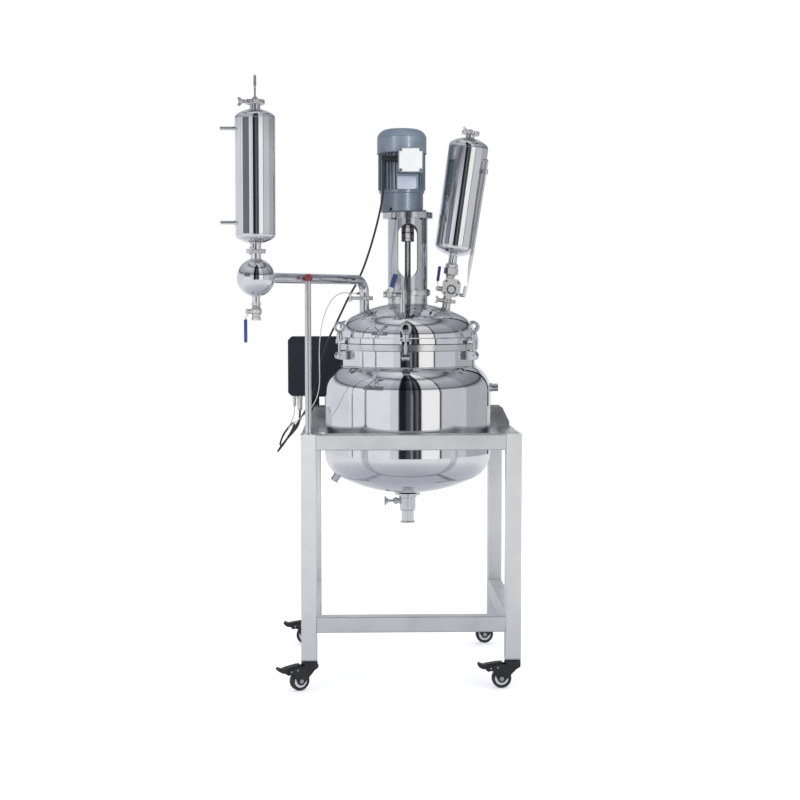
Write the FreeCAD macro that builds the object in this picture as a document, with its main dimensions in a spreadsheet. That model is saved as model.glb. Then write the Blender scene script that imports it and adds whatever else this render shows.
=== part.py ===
"""Jacketed stainless steel reactor on a caster frame, as a parametric document.

Millimetres, +Z up, standing on z = 0. The vessel's axis stands at (axis_x, axis_y)
and most sub-parts are drawn about that axis and moved there by their Placement.
"""
import FreeCAD, Part
import math
import os

import Sketcher
from FreeCAD import Placement, Rotation, Vector

os.makedirs("parts", exist_ok=True)
DOC = FreeCAD.newDocument("Reactor")
SHEET = DOC.addObject("Spreadsheet::Sheet", "Sizes")
NODES = []

X_AXIS = Vector(1, 0, 0)
Y_AXIS = Vector(0, 1, 0)
Z_AXIS = Vector(0, 0, 1)

# Dimensions: alias, value or the formula that it follows, what it is.
SIZES = [
    ("axis_x", 115, "place of the vessel's axis"),
    ("axis_y", 109, "place of the vessel's axis"),
    ("rail_gap", 20, "side rails from the jacket"),
    ("frame_side", "=2 * (jacket_radius + rail_gap + tube)", "outer width and depth of the frame"),
    ("frame_top", 817, "height of the frame's top face"),
    ("low_rail_top", 235, "height of the lower rails' top face"),
    ("tube", 50, "square tube, outside"),
    ("tube_wall", 2, "square tube, wall"),
    ("tube_corner", 4, "square tube, outer corner radius"),
    ("tube_inner_corner", 2, "square tube, inner corner radius"),
    ("caster_height", 99, "floor to the leg's foot"),
    ("foot_plate", 4, "plate that closes each leg"),
    ("kingpin_radius", 6, "swivel pin"),
    ("running_gap", 0.05, "radial clearance of every turning fit"),
    ("wheel_radius", 31.5, "caster wheel"),
    ("wheel_width", 22, "caster wheel"),
    ("wheel_hub_radius", 9, "raised hub round the axle"),
    ("wheel_web_radius", 22, "recessed web of the wheel"),
    ("wheel_shoulder", 4, "rounding of the tread"),
    ("axle_radius", 4, "wheel axle"),
    ("trail", 35, "swivel axis to axle"),
    ("race_radius", 26.5, "round head of the fork"),
    ("race_height", 22.7, "round head of the fork"),
    ("cheek_gap", 26, "between the fork's cheeks"),
    ("cheek_thick", 3, "fork cheek"),
    ("pedal_pin_x", 70, "brake pedal's rivet from the swivel axis"),
    ("pedal_pin_z", 65, "brake pedal's rivet above the floor"),
    ("rivet_radius", 2.5, "fork rivets"),
    ("pedal_width", 24, "brake pedal"),
    ("vessel_radius", 228, "inner vessel and lid, outside"),
    ("vessel_wall", 3, "inner vessel and lid, wall"),
    ("head_share", "=crown_share - sqrt((crown_share - knuckle_share)^2 - (1 - knuckle_share)^2)",
     "height of a dished head over its shell radius"),
    ("vessel_tangent", "=jacket_low + 11", "where the inner vessel's bottom head starts"),
    ("jacket_gap", 52, "jacket beyond the vessel"),
    ("jacket_radius", "=vessel_radius + jacket_gap", "jacket, outside"),
    ("jacket_wall", 3, "jacket, wall"),
    ("jacket_low", "=drain_flange_top + 2.65 + jacket_radius * head_share",
     "where the jacket's bottom head starts"),
    ("jacket_high", 936, "where the jacket's top head starts"),
    ("crown_share", 1.8, "crown radius of a dished head over its shell radius"),
    ("knuckle_share", 0.34, "knuckle radius of a dished head over its shell radius"),
    ("weld_gap", 0.2, "fit-up gap of a ring slipped over the vessel"),
    ("flange_width", 10, "body flange and lid flange beyond the vessel"),
    ("flange_radius", "=vessel_radius + flange_width", "body flange and lid flange"),
    ("flange_low", 1074, "underside of the body flange"),
    ("flange_top", 1096, "top of the body flange"),
    ("gasket_thick", 2.5, "gasket between the flanges"),
    ("lid_flange_top", 1119, "top of the lid flange"),
    ("clamp_count", 6, "swing bolts round the lid"),
    ("clamp_first", 206.5, "azimuth of the first swing bolt"),
    ("bolt_offset", 17, "swing bolts' circle beyond the flanges"),
    ("bolt_circle", "=flange_radius + bolt_offset", "radius of the swing bolts' circle"),
    ("bolt_pivot", 1058, "height of the swing bolts' pins"),
    ("bolt_radius", 5, "swing bolt shank"),
    ("bolt_eye", 11, "swing bolt's eye, outside radius"),
    ("bolt_eye_width", 11.4, "swing bolt's eye, width"),
    ("lug_gap", 12, "between the cheeks of a clevis"),
    ("lug_thick", 6, "clevis cheek"),
    ("ear_thick", 9.5, "forked ear on the lid flange"),
    ("ear_width", 36, "forked ear on the lid flange"),
    ("ear_reach", 8, "forked ear beyond the bolt's axis"),
    ("nut_lift", 0.7, "eye nut above the ear"),
    ("nut_radius", 12.5, "eye nut's collar"),
    ("nut_height", 26, "eye nut's collar"),
    ("ring_radius", 14.5, "eye nut's ring, centre line"),
    ("ring_wire", 4.5, "eye nut's ring, wire radius"),
    ("outlet_radius", 21, "bottom outlet pipe, outside"),
    ("outlet_bore", 17.5, "bottom outlet, bore of its spout"),
    ("seat_bore", 16.5, "bottom outlet, bore above its spout"),
    ("drain_flange_top", 589, "disc over the bottom valve"),
    ("drain_flange_radius", 43.5, "disc over the bottom valve"),
    ("drain_flange_thick", 6, "disc over the bottom valve"),
    ("drain_body_radius", 27, "bottom valve body"),
    ("drain_body_low", 530, "bottom valve body"),
    ("drain_low", 487, "bottom valve outlet"),
    ("ferrule_radius", 25.25, "clamp ferrule, outside"),
    ("ferrule_half", 2.6, "half the thickness of a joined ferrule pair at its rim"),
    ("drain_stem_z", 562, "bottom valve's stem"),
    ("drain_ball", 19, "bottom valve's ball"),
    ("drain_stem_radius", 5, "bottom valve's stem"),
    ("drain_stem_reach", 79, "bottom valve's handle from the axis"),
    ("support_top", 884, "top of the support brackets"),
    ("support_foot", 6, "foot plate of the support brackets"),
    ("support_half", 46, "half the width of a support bracket"),
    ("support_reach", "=frame_side / 2 - 10", "support brackets' foot from the vessel's axis"),
    ("support_head", "=jacket_radius + 38", "support brackets' top from the vessel's axis"),
    ("gusset", 6, "gusset plate"),
    ("nozzle_radius", 13, "jacket nozzle, outside"),
    ("nozzle_bore", 9, "jacket nozzle, bore"),
    ("nozzle_out", 25, "jacket nozzle beyond the shell"),
    ("collar", 1.5, "weld collar at the foot of a nozzle or barb"),
    ("collar_out", 4, "weld collar beyond the shell"),
    ("nozzle_high", 946, "upper jacket nozzle"),
    ("nozzle_angle", 33.2, "lower jacket nozzle from straight down"),
    ("neck_radius", 66.5, "lid neck and stand tube, outside"),
    ("neck_wall", 4, "lid neck and stand tube, wall"),
    ("neck_flange_radius", 76.5, "flanges under the stand"),
    ("neck_flange_low", 1257, "underside of the flanges under the stand"),
    ("neck_flange_thick", 5.8, "each of the three discs under the stand"),
    ("stand_top", 1513, "stand tube, top"),
    ("stand_plate", 20, "plate that carries the gear motor"),
    ("stand_plate_radius", 84, "plate that carries the gear motor"),
    ("window_half", 33, "half the width of the stand's window"),
    ("window_low", 1317, "stand's window, bottom"),
    ("window_high", 1494, "stand's window, top"),
    ("seal_radius", 40, "shaft seal housing"),
    ("seal_top", 1312, "shaft seal housing"),
    ("shaft_radius", 10, "stirrer shaft"),
    ("shaft_low", 655, "stirrer shaft, lower end"),
    ("coupling_radius", 21.5, "shaft coupling"),
    ("coupling_low", 1436, "shaft coupling"),
    ("coupling_hub", 23, "each hub of the shaft coupling"),
    ("coupling_spider", 12, "elastic star between the hubs"),
    ("anchor_gap", 14, "anchor blade to the vessel's wall"),
    ("anchor_width", 32, "anchor blade"),
    ("anchor_thick", 10, "anchor blade"),
    ("anchor_top", 1012, "anchor blade's upper ends"),
    ("anchor_hub", 19, "hub of the anchor"),
    ("motor_x", -20, "motor's axis from the output shaft"),
    ("gearbox_radius", 71.5, "gearbox"),
    ("gearbox_top", 1607, "gearbox"),
    ("motor_core", 70, "motor frame between its fins"),
    ("motor_fin", 9, "height of the motor's fins"),
    ("motor_fin_thick", 2.6, "thickness of the motor's fins"),
    ("motor_fin_count", 36, "motor's fins"),
    ("motor_wall", 7, "motor frame, wall"),
    ("motor_top", 1733, "top of the motor frame"),
    ("cowl_radius", 82.5, "fan cowl"),
    ("cowl_wall", 2, "fan cowl"),
    ("cowl_skirt", 1781, "where the cowl's dome starts"),
    ("cowl_top", 1809, "top of the cowl"),
    ("cowl_corner", 40, "rounding of the cowl's dome"),
    ("cowl_slot_count", 12, "air slots in the cowl"),
    ("fan_radius", 64, "cooling fan"),
    ("fan_blades", 7, "cooling fan"),
    ("rotor_radius", 8, "motor's rotor shaft at the fan"),
    ("terminal_x", 26, "terminal box from the motor's axis"),
    ("terminal_side", 82, "terminal box"),
    ("terminal_low", 1658, "terminal box"),
    ("terminal_front", 108, "terminal box, front face from the motor's axis"),
    ("terminal_back", 60, "terminal box, back from the motor's axis"),
    ("terminal_lid", 9, "terminal box lid"),
    ("plate_width", 64, "bare plate below the terminal box"),
    ("plate_height", 47, "bare plate below the terminal box"),
    ("pipe_radius", 16, "vapour pipe"),
    ("pipe_wall", 1.5, "vapour pipe and ferrule necks, wall"),
    ("vapour_x", "=post_x + 179", "vapour port on the lid, in line with the post and the ball"),
    ("vapour_y", "=post_y + 307", "vapour port on the lid, in line with the post and the ball"),
    ("vapour_joint", 1247, "ferrule joint of the vapour port"),
    ("vapour_z", 1308, "vapour pipe's level run"),
    ("elbow_radius", 46, "vapour pipe's elbow"),
    ("ball_x", "=post_x - 151", "vapour ball from the vessel's axis"),
    ("ball_y", "=post_y - 172", "vapour ball from the vessel's axis"),
    ("ball_radius", 57.5, "vapour ball"),
    ("ball_wall", 2, "vapour ball"),
    ("condenser_joint", 1387, "ferrule joint under the condenser"),
    ("condenser_radius", 60.5, "condenser shell"),
    ("condenser_wall", 2, "condenser shell"),
    ("condenser_low", 1409, "condenser shell"),
    ("condenser_high", 1812, "condenser shell"),
    ("condenser_crown", 100, "condenser ends, crown radius"),
    ("condenser_knuckle", 16, "condenser ends, knuckle radius"),
    ("barb_radius", 5.5, "condenser water barbs"),
    ("barb_bore", 3.5, "condenser water barbs"),
    ("barb_out", 45, "condenser water barbs"),
    ("barb_low", 1473, "lower water barb"),
    ("barb_high", 1754, "upper water barb"),
    ("condenser_cap", 1832, "ferrule joint over the condenser"),
    ("probe_radius", 3, "thermometer stem"),
    ("probe_rise", 83, "thermometer above the condenser's cap"),
    ("probe_tip", 37, "thermometer's thicker tip"),
    ("probe_depth", 392, "thermometer below the condenser's cap"),
    ("post_y", "=13 - frame_side / 2", "pipe support post from the vessel's axis"),
    ("post_x", "=(tube - frame_side) / 2", "pipe support post from the vessel's axis"),
    ("post_radius", 10, "pipe support post"),
    ("post_wall", 1.5, "pipe support post"),
    ("ball_drain", 1206, "centre of the valve under the ball"),
    ("valve_half", 27, "half the length of a small ball valve"),
    ("valve_radius", 17, "small ball valve body"),
    ("valve_end", 14, "small ball valve's ends"),
    ("valve_boss", 24, "small ball valve's stem boss"),
    ("lever_stem", 3.5, "lever's stem"),
    ("dosing_x", 126, "dosing port on the lid"),
    ("dosing_tilt", 8, "dosing line leans outward"),
    ("dosing_base", 1196, "height where the dosing line starts"),
    ("dosing_joint", 42, "ferrule joint along the dosing line"),
    ("dosing_pipe", 14.5, "dosing line pipe"),
    ("dosing_valve", 88, "valve along the dosing line"),
    ("dosing_body", 30, "half the size of the dosing line's valve"),
    ("dosing_low", 194, "tank along the dosing line"),
    ("dosing_high", 592, "tank along the dosing line"),
    ("dosing_radius", 66.5, "dosing tank"),
    ("dosing_wall", 2, "dosing tank"),
    ("dosing_crown", 105, "dosing tank ends, crown radius"),
    ("dosing_knuckle", 22, "dosing tank ends, knuckle radius"),
    ("dosing_cap", 608, "ferrule joint over the tank"),
    ("balance_radius", 6, "balance tube"),
    ("balance_high", 520, "balance tube's upper end"),
    ("vent_x", -22, "vent port on the lid"),
    ("vent_y", -150, "vent port on the lid"),
    ("vent_radius", 8.5, "vent port"),
    ("vent_z", 1259, "vent valve"),
    ("vent_reach", 43, "vent valve's middle from its port"),
    ("box_left", "=-63 - frame_side / 2", "control box from the vessel's axis"),
    ("box_width", 184, "control box"),
    ("box_low", 905, "control box"),
    ("box_high", 1113, "control box"),
    ("box_front", "=frame_side / 2 - 135", "control box from the vessel's axis"),
    ("box_depth", 92, "control box"),
    ("box_chamfer", 12, "control box corners"),
    ("knob_radius", 14, "speed knob"),
    ("cable_radius", 3.5, "motor cable"),
    ("lead_radius", 1.5, "sensor lead"),
]

for row, (alias, value, note) in enumerate(SIZES, start=1):
    SHEET.set(f"A{row}", note)
    SHEET.setAlias(f"B{row}", alias)
for row, (alias, value, note) in enumerate(SIZES, start=1):
    SHEET.set(f"B{row}", str(value))
DOC.recompute()


class Size:
    """A number together with the sheet expression that gives it."""

    def __init__(self, value, text):
        self.value = value
        self.text = text

    def __add__(self, other):
        return Size(self.value + number(other), f"({self.text} + {words(other)})")

    def __radd__(self, other):
        return Size(number(other) + self.value, f"({words(other)} + {self.text})")

    def __sub__(self, other):
        return Size(self.value - number(other), f"({self.text} - {words(other)})")

    def __rsub__(self, other):
        return Size(number(other) - self.value, f"({words(other)} - {self.text})")

    def __mul__(self, other):
        return Size(self.value * number(other), f"({self.text} * {words(other)})")

    def __rmul__(self, other):
        return Size(number(other) * self.value, f"({words(other)} * {self.text})")

    def __truediv__(self, other):
        return Size(self.value / number(other), f"({self.text} / {words(other)})")

    def __rtruediv__(self, other):
        return Size(number(other) / self.value, f"({words(other)} / {self.text})")

    def __neg__(self):
        return Size(-self.value, f"(-{self.text})")


def number(term):
    """The plain value of a size or a number."""
    return term.value if isinstance(term, Size) else term


def words(term):
    """The expression of a size or a number."""
    return term.text if isinstance(term, Size) else f"({term})"


def root(term):
    """Square root of a size."""
    return Size(math.sqrt(number(term)), f"sqrt({words(term)})")


def sine(angle):
    """Sine of an angle in degrees."""
    return Size(math.sin(math.radians(number(angle))), f"sin({words(angle)})")


def cosine(angle):
    """Cosine of an angle in degrees."""
    return Size(math.cos(math.radians(number(angle))), f"cos({words(angle)})")


def bearing(rise, run):
    """Angle in degrees whose tangent is rise over run."""
    turn = math.degrees(math.atan2(number(rise), number(run)))
    return Size(turn, f"(atan2({words(rise)}; {words(run)}) / 1 deg)")


def read(alias):
    """The sheet's cell with this alias, as a size."""
    return Size(float(getattr(SHEET, alias)), f"Sizes.{alias}")


S = {alias: read(alias) for alias, value, note in SIZES}
AXIS_X = S["axis_x"]
AXIS_Y = S["axis_y"]


def bind(obj, prop, size):
    """Give a property a plain number, or tie it to the sheet."""
    if isinstance(size, Size):
        obj.setExpression(prop, size.text)
    elif prop.startswith("Placement"):
        obj.setExpression(prop, None)
    else:
        setattr(obj, prop, size)


def place(obj, x=0, y=0, z=0, axis=Z_AXIS, angle=0):
    """Turn an object about one axis, then move it."""
    turn = Rotation(axis, number(angle))
    obj.Placement = Placement(Vector(number(x), number(y), number(z)), turn)
    for name, term in (("x", x), ("y", y), ("z", z)):
        bind(obj, f"Placement.Base.{name}", term)
    if isinstance(angle, Size):
        bind(obj, "Placement.Rotation.Angle", angle)
    return obj


def on_axis(obj, x=0, y=0, z=0, axis=Z_AXIS, angle=0):
    """Place an object by its distance from the vessel's axis."""
    return place(obj, AXIS_X + x, AXIS_Y + y, z, axis, angle)


def keep(node, obj):
    """Hand an object over as the sub-part of this name."""
    obj.Label = node
    NODES.append(obj)
    return obj


def cylinder(name, radius, height):
    """A cylinder up the Z axis from the origin."""
    obj = DOC.addObject("Part::Cylinder", name)
    bind(obj, "Radius", radius)
    bind(obj, "Height", height)
    return obj


def sphere(name, radius):
    """A sphere about the origin."""
    obj = DOC.addObject("Part::Sphere", name)
    bind(obj, "Radius", radius)
    return obj


def block(name, width, depth, height):
    """A box with one corner at the origin."""
    obj = DOC.addObject("Part::Box", name)
    bind(obj, "Length", width)
    bind(obj, "Width", depth)
    bind(obj, "Height", height)
    return obj


def as_size(term):
    """A number or a size, as a size."""
    return term if isinstance(term, Size) else Size(term, words(term))


def hexagon(name, across_corners, height):
    """A six-sided prism up the Z axis from the origin."""
    obj = DOC.addObject("Part::Prism", name)
    obj.Polygon = 6
    bind(obj, "Circumradius", 0.5 * as_size(across_corners))
    bind(obj, "Height", height)
    return obj


def fuse(name, shapes):
    """Several shapes as one."""
    obj = DOC.addObject("Part::MultiFuse", name)
    obj.Shapes = shapes
    return obj


def group(name, shapes):
    """Several separate solids under one name."""
    obj = DOC.addObject("Part::Compound", name)
    obj.Links = shapes
    return obj


def cut(name, base, tools):
    """A shape less one or several others."""
    obj = DOC.addObject("Part::Cut", name)
    obj.Base = base
    obj.Tool = tools[0] if len(tools) == 1 else fuse(f"{name}_tools", tools)
    return obj


def pin_point(sketch, element, end, axis_name, term):
    """Tie one coordinate of a sketch point to a size."""
    if not isinstance(term, Size) and term == 0:
        other = -2 if axis_name == "DistanceX" else -1
        sketch.addConstraint(Sketcher.Constraint("PointOnObject", element, end, other))
        return
    rule = Sketcher.Constraint(axis_name, -1, 1, element, end, number(term))
    index = sketch.addConstraint(rule)
    if isinstance(term, Size):
        sketch.setExpression(f"Constraints[{index}]", term.text)


def arc_between(start, end, radius, turn):
    """Circular arc from start to end, and whether its own ends run that way."""
    chord = end.sub(start)
    middle = (start + end) * 0.5
    height = math.sqrt(max(radius ** 2 - (chord.Length / 2) ** 2, 0.0))
    side = Vector(-chord.y, chord.x, 0).normalize() * turn
    centre = middle + side * height
    first, last = (start, end) if turn > 0 else (end, start)
    angles = [math.atan2(p.y - centre.y, p.x - centre.x) for p in (first, last)]
    circle = Part.Circle(centre, Z_AXIS, radius)
    return Part.ArcOfCircle(circle, angles[0], angles[1])


def draw(body, name, role, loops):
    """Sketch closed loops on one of the body's planes.

    Each step of a loop is (x, y) for a straight line to that point, or
    (x, y, radius, turn) for an arc to it, with turn 1 anticlockwise.
    """
    sketch = body.newObject("Sketcher::SketchObject", name)
    plane = [item for item in body.Origin.OriginFeatures if item.Role == role][0]
    sketch.AttachmentSupport = [(plane, "")]
    sketch.MapMode = "FlatFace"
    for loop in loops:
        points = [Vector(number(step[0]), number(step[1]), 0) for step in loop]
        elements = []
        for index, step in enumerate(loop):
            start, end = points[index - 1], points[index]
            if len(step) == 2:
                made = sketch.addGeometry(Part.LineSegment(start, end))
                elements.append((made, 1, 2))
            else:
                arc = arc_between(start, end, number(step[2]), step[3])
                made = sketch.addGeometry(arc)
                ends = (1, 2) if step[3] > 0 else (2, 1)
                elements.append((made, *ends))
        for index, step in enumerate(loop):
            made, head, tail = elements[index]
            after = elements[(index + 1) % len(loop)]
            join = Sketcher.Constraint("Coincident", made, tail, after[0], after[1])
            sketch.addConstraint(join)
            pin_point(sketch, made, tail, "DistanceX", step[0])
            pin_point(sketch, made, tail, "DistanceY", step[1])
            if len(step) == 4:
                rule = Sketcher.Constraint("Radius", made, number(step[2]))
                place_in_list = sketch.addConstraint(rule)
                if isinstance(step[2], Size):
                    sketch.setExpression(f"Constraints[{place_in_list}]", step[2].text)
    return sketch


def turned(name, *loops):
    """A body turned about the Z axis from loops of (radius, height)."""
    body = DOC.addObject("PartDesign::Body", name)
    sketch = draw(body, f"{name}_profile", "XZ_Plane", loops)
    feature = body.newObject("PartDesign::Revolution", f"{name}_turn")
    feature.Profile = (sketch, [""])
    feature.ReferenceAxis = (sketch, ["V_Axis"])
    feature.Angle = 360
    return body


def plate(name, role, thickness, *loops):
    """A body of even thickness, centred on its plane."""
    body = DOC.addObject("PartDesign::Body", name)
    sketch = draw(body, f"{name}_outline", role, loops)
    pad = body.newObject("PartDesign::Pad", f"{name}_pad")
    pad.Profile = sketch
    pad.SideType = "Symmetric"
    bind(pad, "Length", thickness)
    return body


def extruded(name, length, *loops):
    """A body drawn on the XY plane and raised along Z."""
    body = DOC.addObject("PartDesign::Body", name)
    sketch = draw(body, f"{name}_outline", "XY_Plane", loops)
    pad = body.newObject("PartDesign::Pad", f"{name}_pad")
    pad.Profile = sketch
    bind(pad, "Length", length)
    return body


def rounded_square(half, corner):
    """Loop of a square with rounded corners about the origin."""
    flat = half - corner
    return [
        (flat, -half),
        (half, -flat, corner, 1),
        (half, flat),
        (flat, half, corner, 1),
        (-flat, half),
        (-half, flat, corner, 1),
        (-half, -flat),
        (-flat, -half, corner, 1),
    ]


def dished(radius, tangent, way, crown, knuckle):
    """Steps of a dished head's half section, from its rim to its apex.

    The head closes a shell of this radius at height tangent, and way is 1 for a
    head that bulges up and -1 for one that bulges down.
    """
    inset = radius - knuckle
    spread = crown - knuckle
    drop = root(spread * spread - inset * inset)
    share = knuckle / spread
    knee = (inset + inset * share, tangent + way * (drop * share))
    apex = (0, tangent + way * (crown - drop))
    return [(radius, tangent), (*knee, knuckle, way), (*apex, crown, way)]


def head_height(radius, crown, knuckle):
    """Height of a dished head."""
    inset = radius - knuckle
    spread = crown - knuckle
    return crown - root(spread * spread - inset * inset)


def head_rise(radius, crown, knuckle, out):
    """Height of a dished head's crown at a distance out from its axis."""
    low = crown - head_height(radius, crown, knuckle)
    return root(crown * crown - out * out) - low


def shell_solid(name, radius, low, high, low_head=None, high_head=None):
    """A solid drum with flat or dished ends; a head is (crown, knuckle)."""
    loop = []
    if high_head:
        loop += dished(radius, high, 1, *high_head)
    else:
        loop += [(radius, high), (0, high)]
    if low_head:
        steps = dished(radius, low, -1, *low_head)
        apex, knee, rim = steps[2], steps[1], steps[0]
        loop += [(apex[0], apex[1])]
        loop += [(knee[0], knee[1], low_head[0], 1)]
        loop += [(rim[0], rim[1], low_head[1], 1)]
    else:
        loop += [(0, low), (radius, low)]
    return turned(name, loop)


VESSEL_CROWN = S["vessel_radius"] * S["crown_share"]
VESSEL_KNUCKLE = S["vessel_radius"] * S["knuckle_share"]
JACKET_CROWN = S["jacket_radius"] * S["crown_share"]
JACKET_KNUCKLE = S["jacket_radius"] * S["knuckle_share"]
GASKET_TOP = S["flange_top"] + S["gasket_thick"]
EAR_TOP = GASKET_TOP + S["ear_thick"]
LID_TOP = S["lid_flange_top"] + head_height(
    S["vessel_radius"], VESSEL_CROWN, VESSEL_KNUCKLE
)
CLAMPS = range(int(number(S["clamp_count"])))
CLAMP_STEP = 360 / S["clamp_count"]


# Frame

def make_legs():
    """Four square legs, closed at the top by the welded cap."""
    half = S["tube"] / 2
    inner = half - S["tube_wall"]
    length = S["frame_top"] - S["caster_height"]
    reach = (S["frame_side"] - S["tube"]) / 2
    legs = []
    for index, (side_x, side_y) in enumerate(CORNERS):
        body = extruded(f"leg_{index}", length, rounded_square(half, S["tube_corner"]))
        bore = rounded_square(inner, S["tube_inner_corner"])
        sketch = draw(body, f"leg_{index}_bore", "XY_Plane", [bore])
        pocket = body.newObject("PartDesign::Pocket", f"leg_{index}_hollow")
        pocket.Profile = sketch
        pocket.Reversed = True
        bind(pocket, "Length", length - S["tube_wall"])
        place(body, side_x * reach, side_y * reach, S["caster_height"])
        legs.append(body)
    keep("frame_legs", on_axis(group("frame_legs", legs)))


def rail(name, length, x, y, z, axis, angle):
    """One square tube between two legs, its middle at (x, y, z)."""
    half = S["tube"] / 2
    inner = half - S["tube_wall"]
    body = extruded(
        name,
        length,
        rounded_square(half, S["tube_corner"]),
        rounded_square(inner, S["tube_inner_corner"]),
    )
    shift = length / 2
    if axis is Y_AXIS:
        return place(body, x - shift, y, z, axis, angle)
    return place(body, x, y - shift, z, axis, angle)


def make_rails():
    """Four top rails and the three lower rails at the front and the sides."""
    length = S["frame_side"] - 2 * S["tube"]
    reach = (S["frame_side"] - S["tube"]) / 2
    half = S["tube"] / 2
    high = S["frame_top"] - half
    low = S["low_rail_top"] - half
    along_x = (Y_AXIS, 90)
    along_y = (X_AXIS, -90)
    rails = [
        rail("top_front", length, 0, -reach, high, *along_x),
        rail("top_back", length, 0, reach, high, *along_x),
        rail("top_left", length, -reach, 0, high, *along_y),
        rail("top_right", length, reach, 0, high, *along_y),
        rail("low_front", length, 0, -reach, low, *along_x),
        rail("low_left", length, -reach, 0, low, *along_y),
        rail("low_right", length, reach, 0, low, *along_y),
    ]
    keep("frame_rails", on_axis(group("frame_rails", rails)))


CORNERS = [(-1, -1), (1, -1), (-1, 1), (1, 1)]
CASTERS = [
    ("front_left", -1, -1, 207),
    ("front_right", 1, -1, 180),
    ("back_left", -1, 1, 180),
    ("back_right", 1, 1, 183),
]


def make_foot_plates():
    """Plates that close the legs, each with the pin its caster swivels on."""
    reach = (S["frame_side"] - S["tube"]) / 2
    pin = S["race_height"] + 0.3
    feet = []
    for index, (side_x, side_y) in enumerate(CORNERS):
        flat = extruded(
            f"foot_{index}_flat",
            S["foot_plate"],
            rounded_square(S["tube"] / 2, S["tube_corner"]),
        )
        stem = place(cylinder(f"foot_{index}_pin", S["kingpin_radius"], pin), 0, 0, -pin)
        foot = fuse(f"foot_{index}", [flat, stem])
        height = S["caster_height"] - S["foot_plate"]
        feet.append(place(foot, side_x * reach, side_y * reach, height))
    keep("caster_plates", on_axis(group("caster_plates", feet)))


def caster_spot(obj, side_x, side_y, heading):
    """Stand a piece drawn about its swivel axis under its leg."""
    reach = (S["frame_side"] - S["tube"]) / 2
    return on_axis(obj, side_x * reach, side_y * reach, 0, Z_AXIS, heading)


def make_fork(corner, side_x, side_y, heading):
    """Fork of a caster: round head, two cheeks, axle and rivets."""
    name = f"caster_fork_{corner}"
    top = S["caster_height"] - S["foot_plate"] - 0.3
    low = top - S["race_height"]
    race = S["race_radius"]
    bore = S["kingpin_radius"] + S["running_gap"]
    head = turned(
        f"{name}_head",
        [
            (bore, low),
            (race - 3, low),
            (race, low + 3, 3, 1),
            (race, top - 9),
            (race - 5, top, 14, 1),
            (bore, top),
        ],
    )
    trail = S["trail"]
    axle_z = S["wheel_radius"]
    pin_x = S["pedal_pin_x"]
    pin_z = S["pedal_pin_z"]
    cheek_top = low + 9
    outline = [
        (2 - race, cheek_top),
        (2 - race, low - 2),
        (-(race - 15), low - 10),
        (trail - 11, axle_z - 7),
        (trail + 11, axle_z - 7),
        (pin_x - 8, pin_z - 10),
        (pin_x + 7, pin_z - 7),
        (pin_x + 8, pin_z + 6),
        (pin_x - 12, pin_z + 12),
    ]
    middle = (S["cheek_gap"] + S["cheek_thick"]) / 2
    cheeks = []
    for side in (-1, 1):
        tag = "left" if side < 0 else "right"
        cheek = plate(f"{name}_{tag}", "XZ_Plane", S["cheek_thick"], outline)
        cheeks.append(place(cheek, 0, side * middle, 0))
        boss = cylinder(f"{name}_{tag}_boss", 13, S["cheek_thick"])
        start = side * middle + S["cheek_thick"] / 2
        cheeks.append(place(boss, trail, start, axle_z, X_AXIS, 90))
    span = S["cheek_gap"] + 2 * S["cheek_thick"] + 2
    cap = 2 * S["axle_radius"]
    pins = [
        crosspin(f"{name}_axle", S["axle_radius"], span, trail, axle_z),
        crosspin(f"{name}_cap", cap, S["cheek_thick"], trail, axle_z, span / 2 - 1),
        crosspin(f"{name}_nut", cap, S["cheek_thick"], trail, axle_z, 1 - span / 2),
        crosspin(f"{name}_pivot", S["rivet_radius"], span, pin_x, pin_z),
        crosspin(f"{name}_rivet", S["rivet_radius"], span, pin_x - 22, pin_z + 3),
    ]
    whole = fuse(f"{name}_whole", [head, *cheeks, *pins])
    hole = cylinder(f"{name}_bore", bore, S["caster_height"])
    fork = cut(name, whole, [hole])
    keep(name, caster_spot(fork, side_x, side_y, heading))


def crosspin(name, radius, length, x, z, shift=0):
    """A pin along Y whose middle is at (x, shift, z)."""
    pin = cylinder(name, radius, length)
    return place(pin, x, shift + length / 2, z, X_AXIS, 90)


def make_wheel(corner, side_x, side_y, heading):
    """Caster wheel with a raised hub, a recessed web and rounded shoulders."""
    name = f"caster_wheel_{corner}"
    bore = S["axle_radius"] + S["running_gap"]
    rim = S["wheel_radius"]
    hub = S["wheel_hub_radius"]
    web = S["wheel_web_radius"]
    half = S["wheel_width"] / 2
    round_off = S["wheel_shoulder"]
    step = half - 3
    wheel = turned(
        f"{name}_turned",
        [
            (bore, -half),
            (hub, -half),
            (hub, -step),
            (web, -step),
            (web, -half),
            (rim - round_off, -half),
            (rim, round_off - half, round_off, 1),
            (rim, half - round_off),
            (rim - round_off, half, round_off, 1),
            (web, half),
            (web, step),
            (hub, step),
            (hub, half),
            (bore, half),
        ],
    )
    place(wheel, S["trail"], 0, rim, X_AXIS, 90)
    keep(name, caster_spot(group(name, [wheel]), side_x, side_y, heading))


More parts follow.
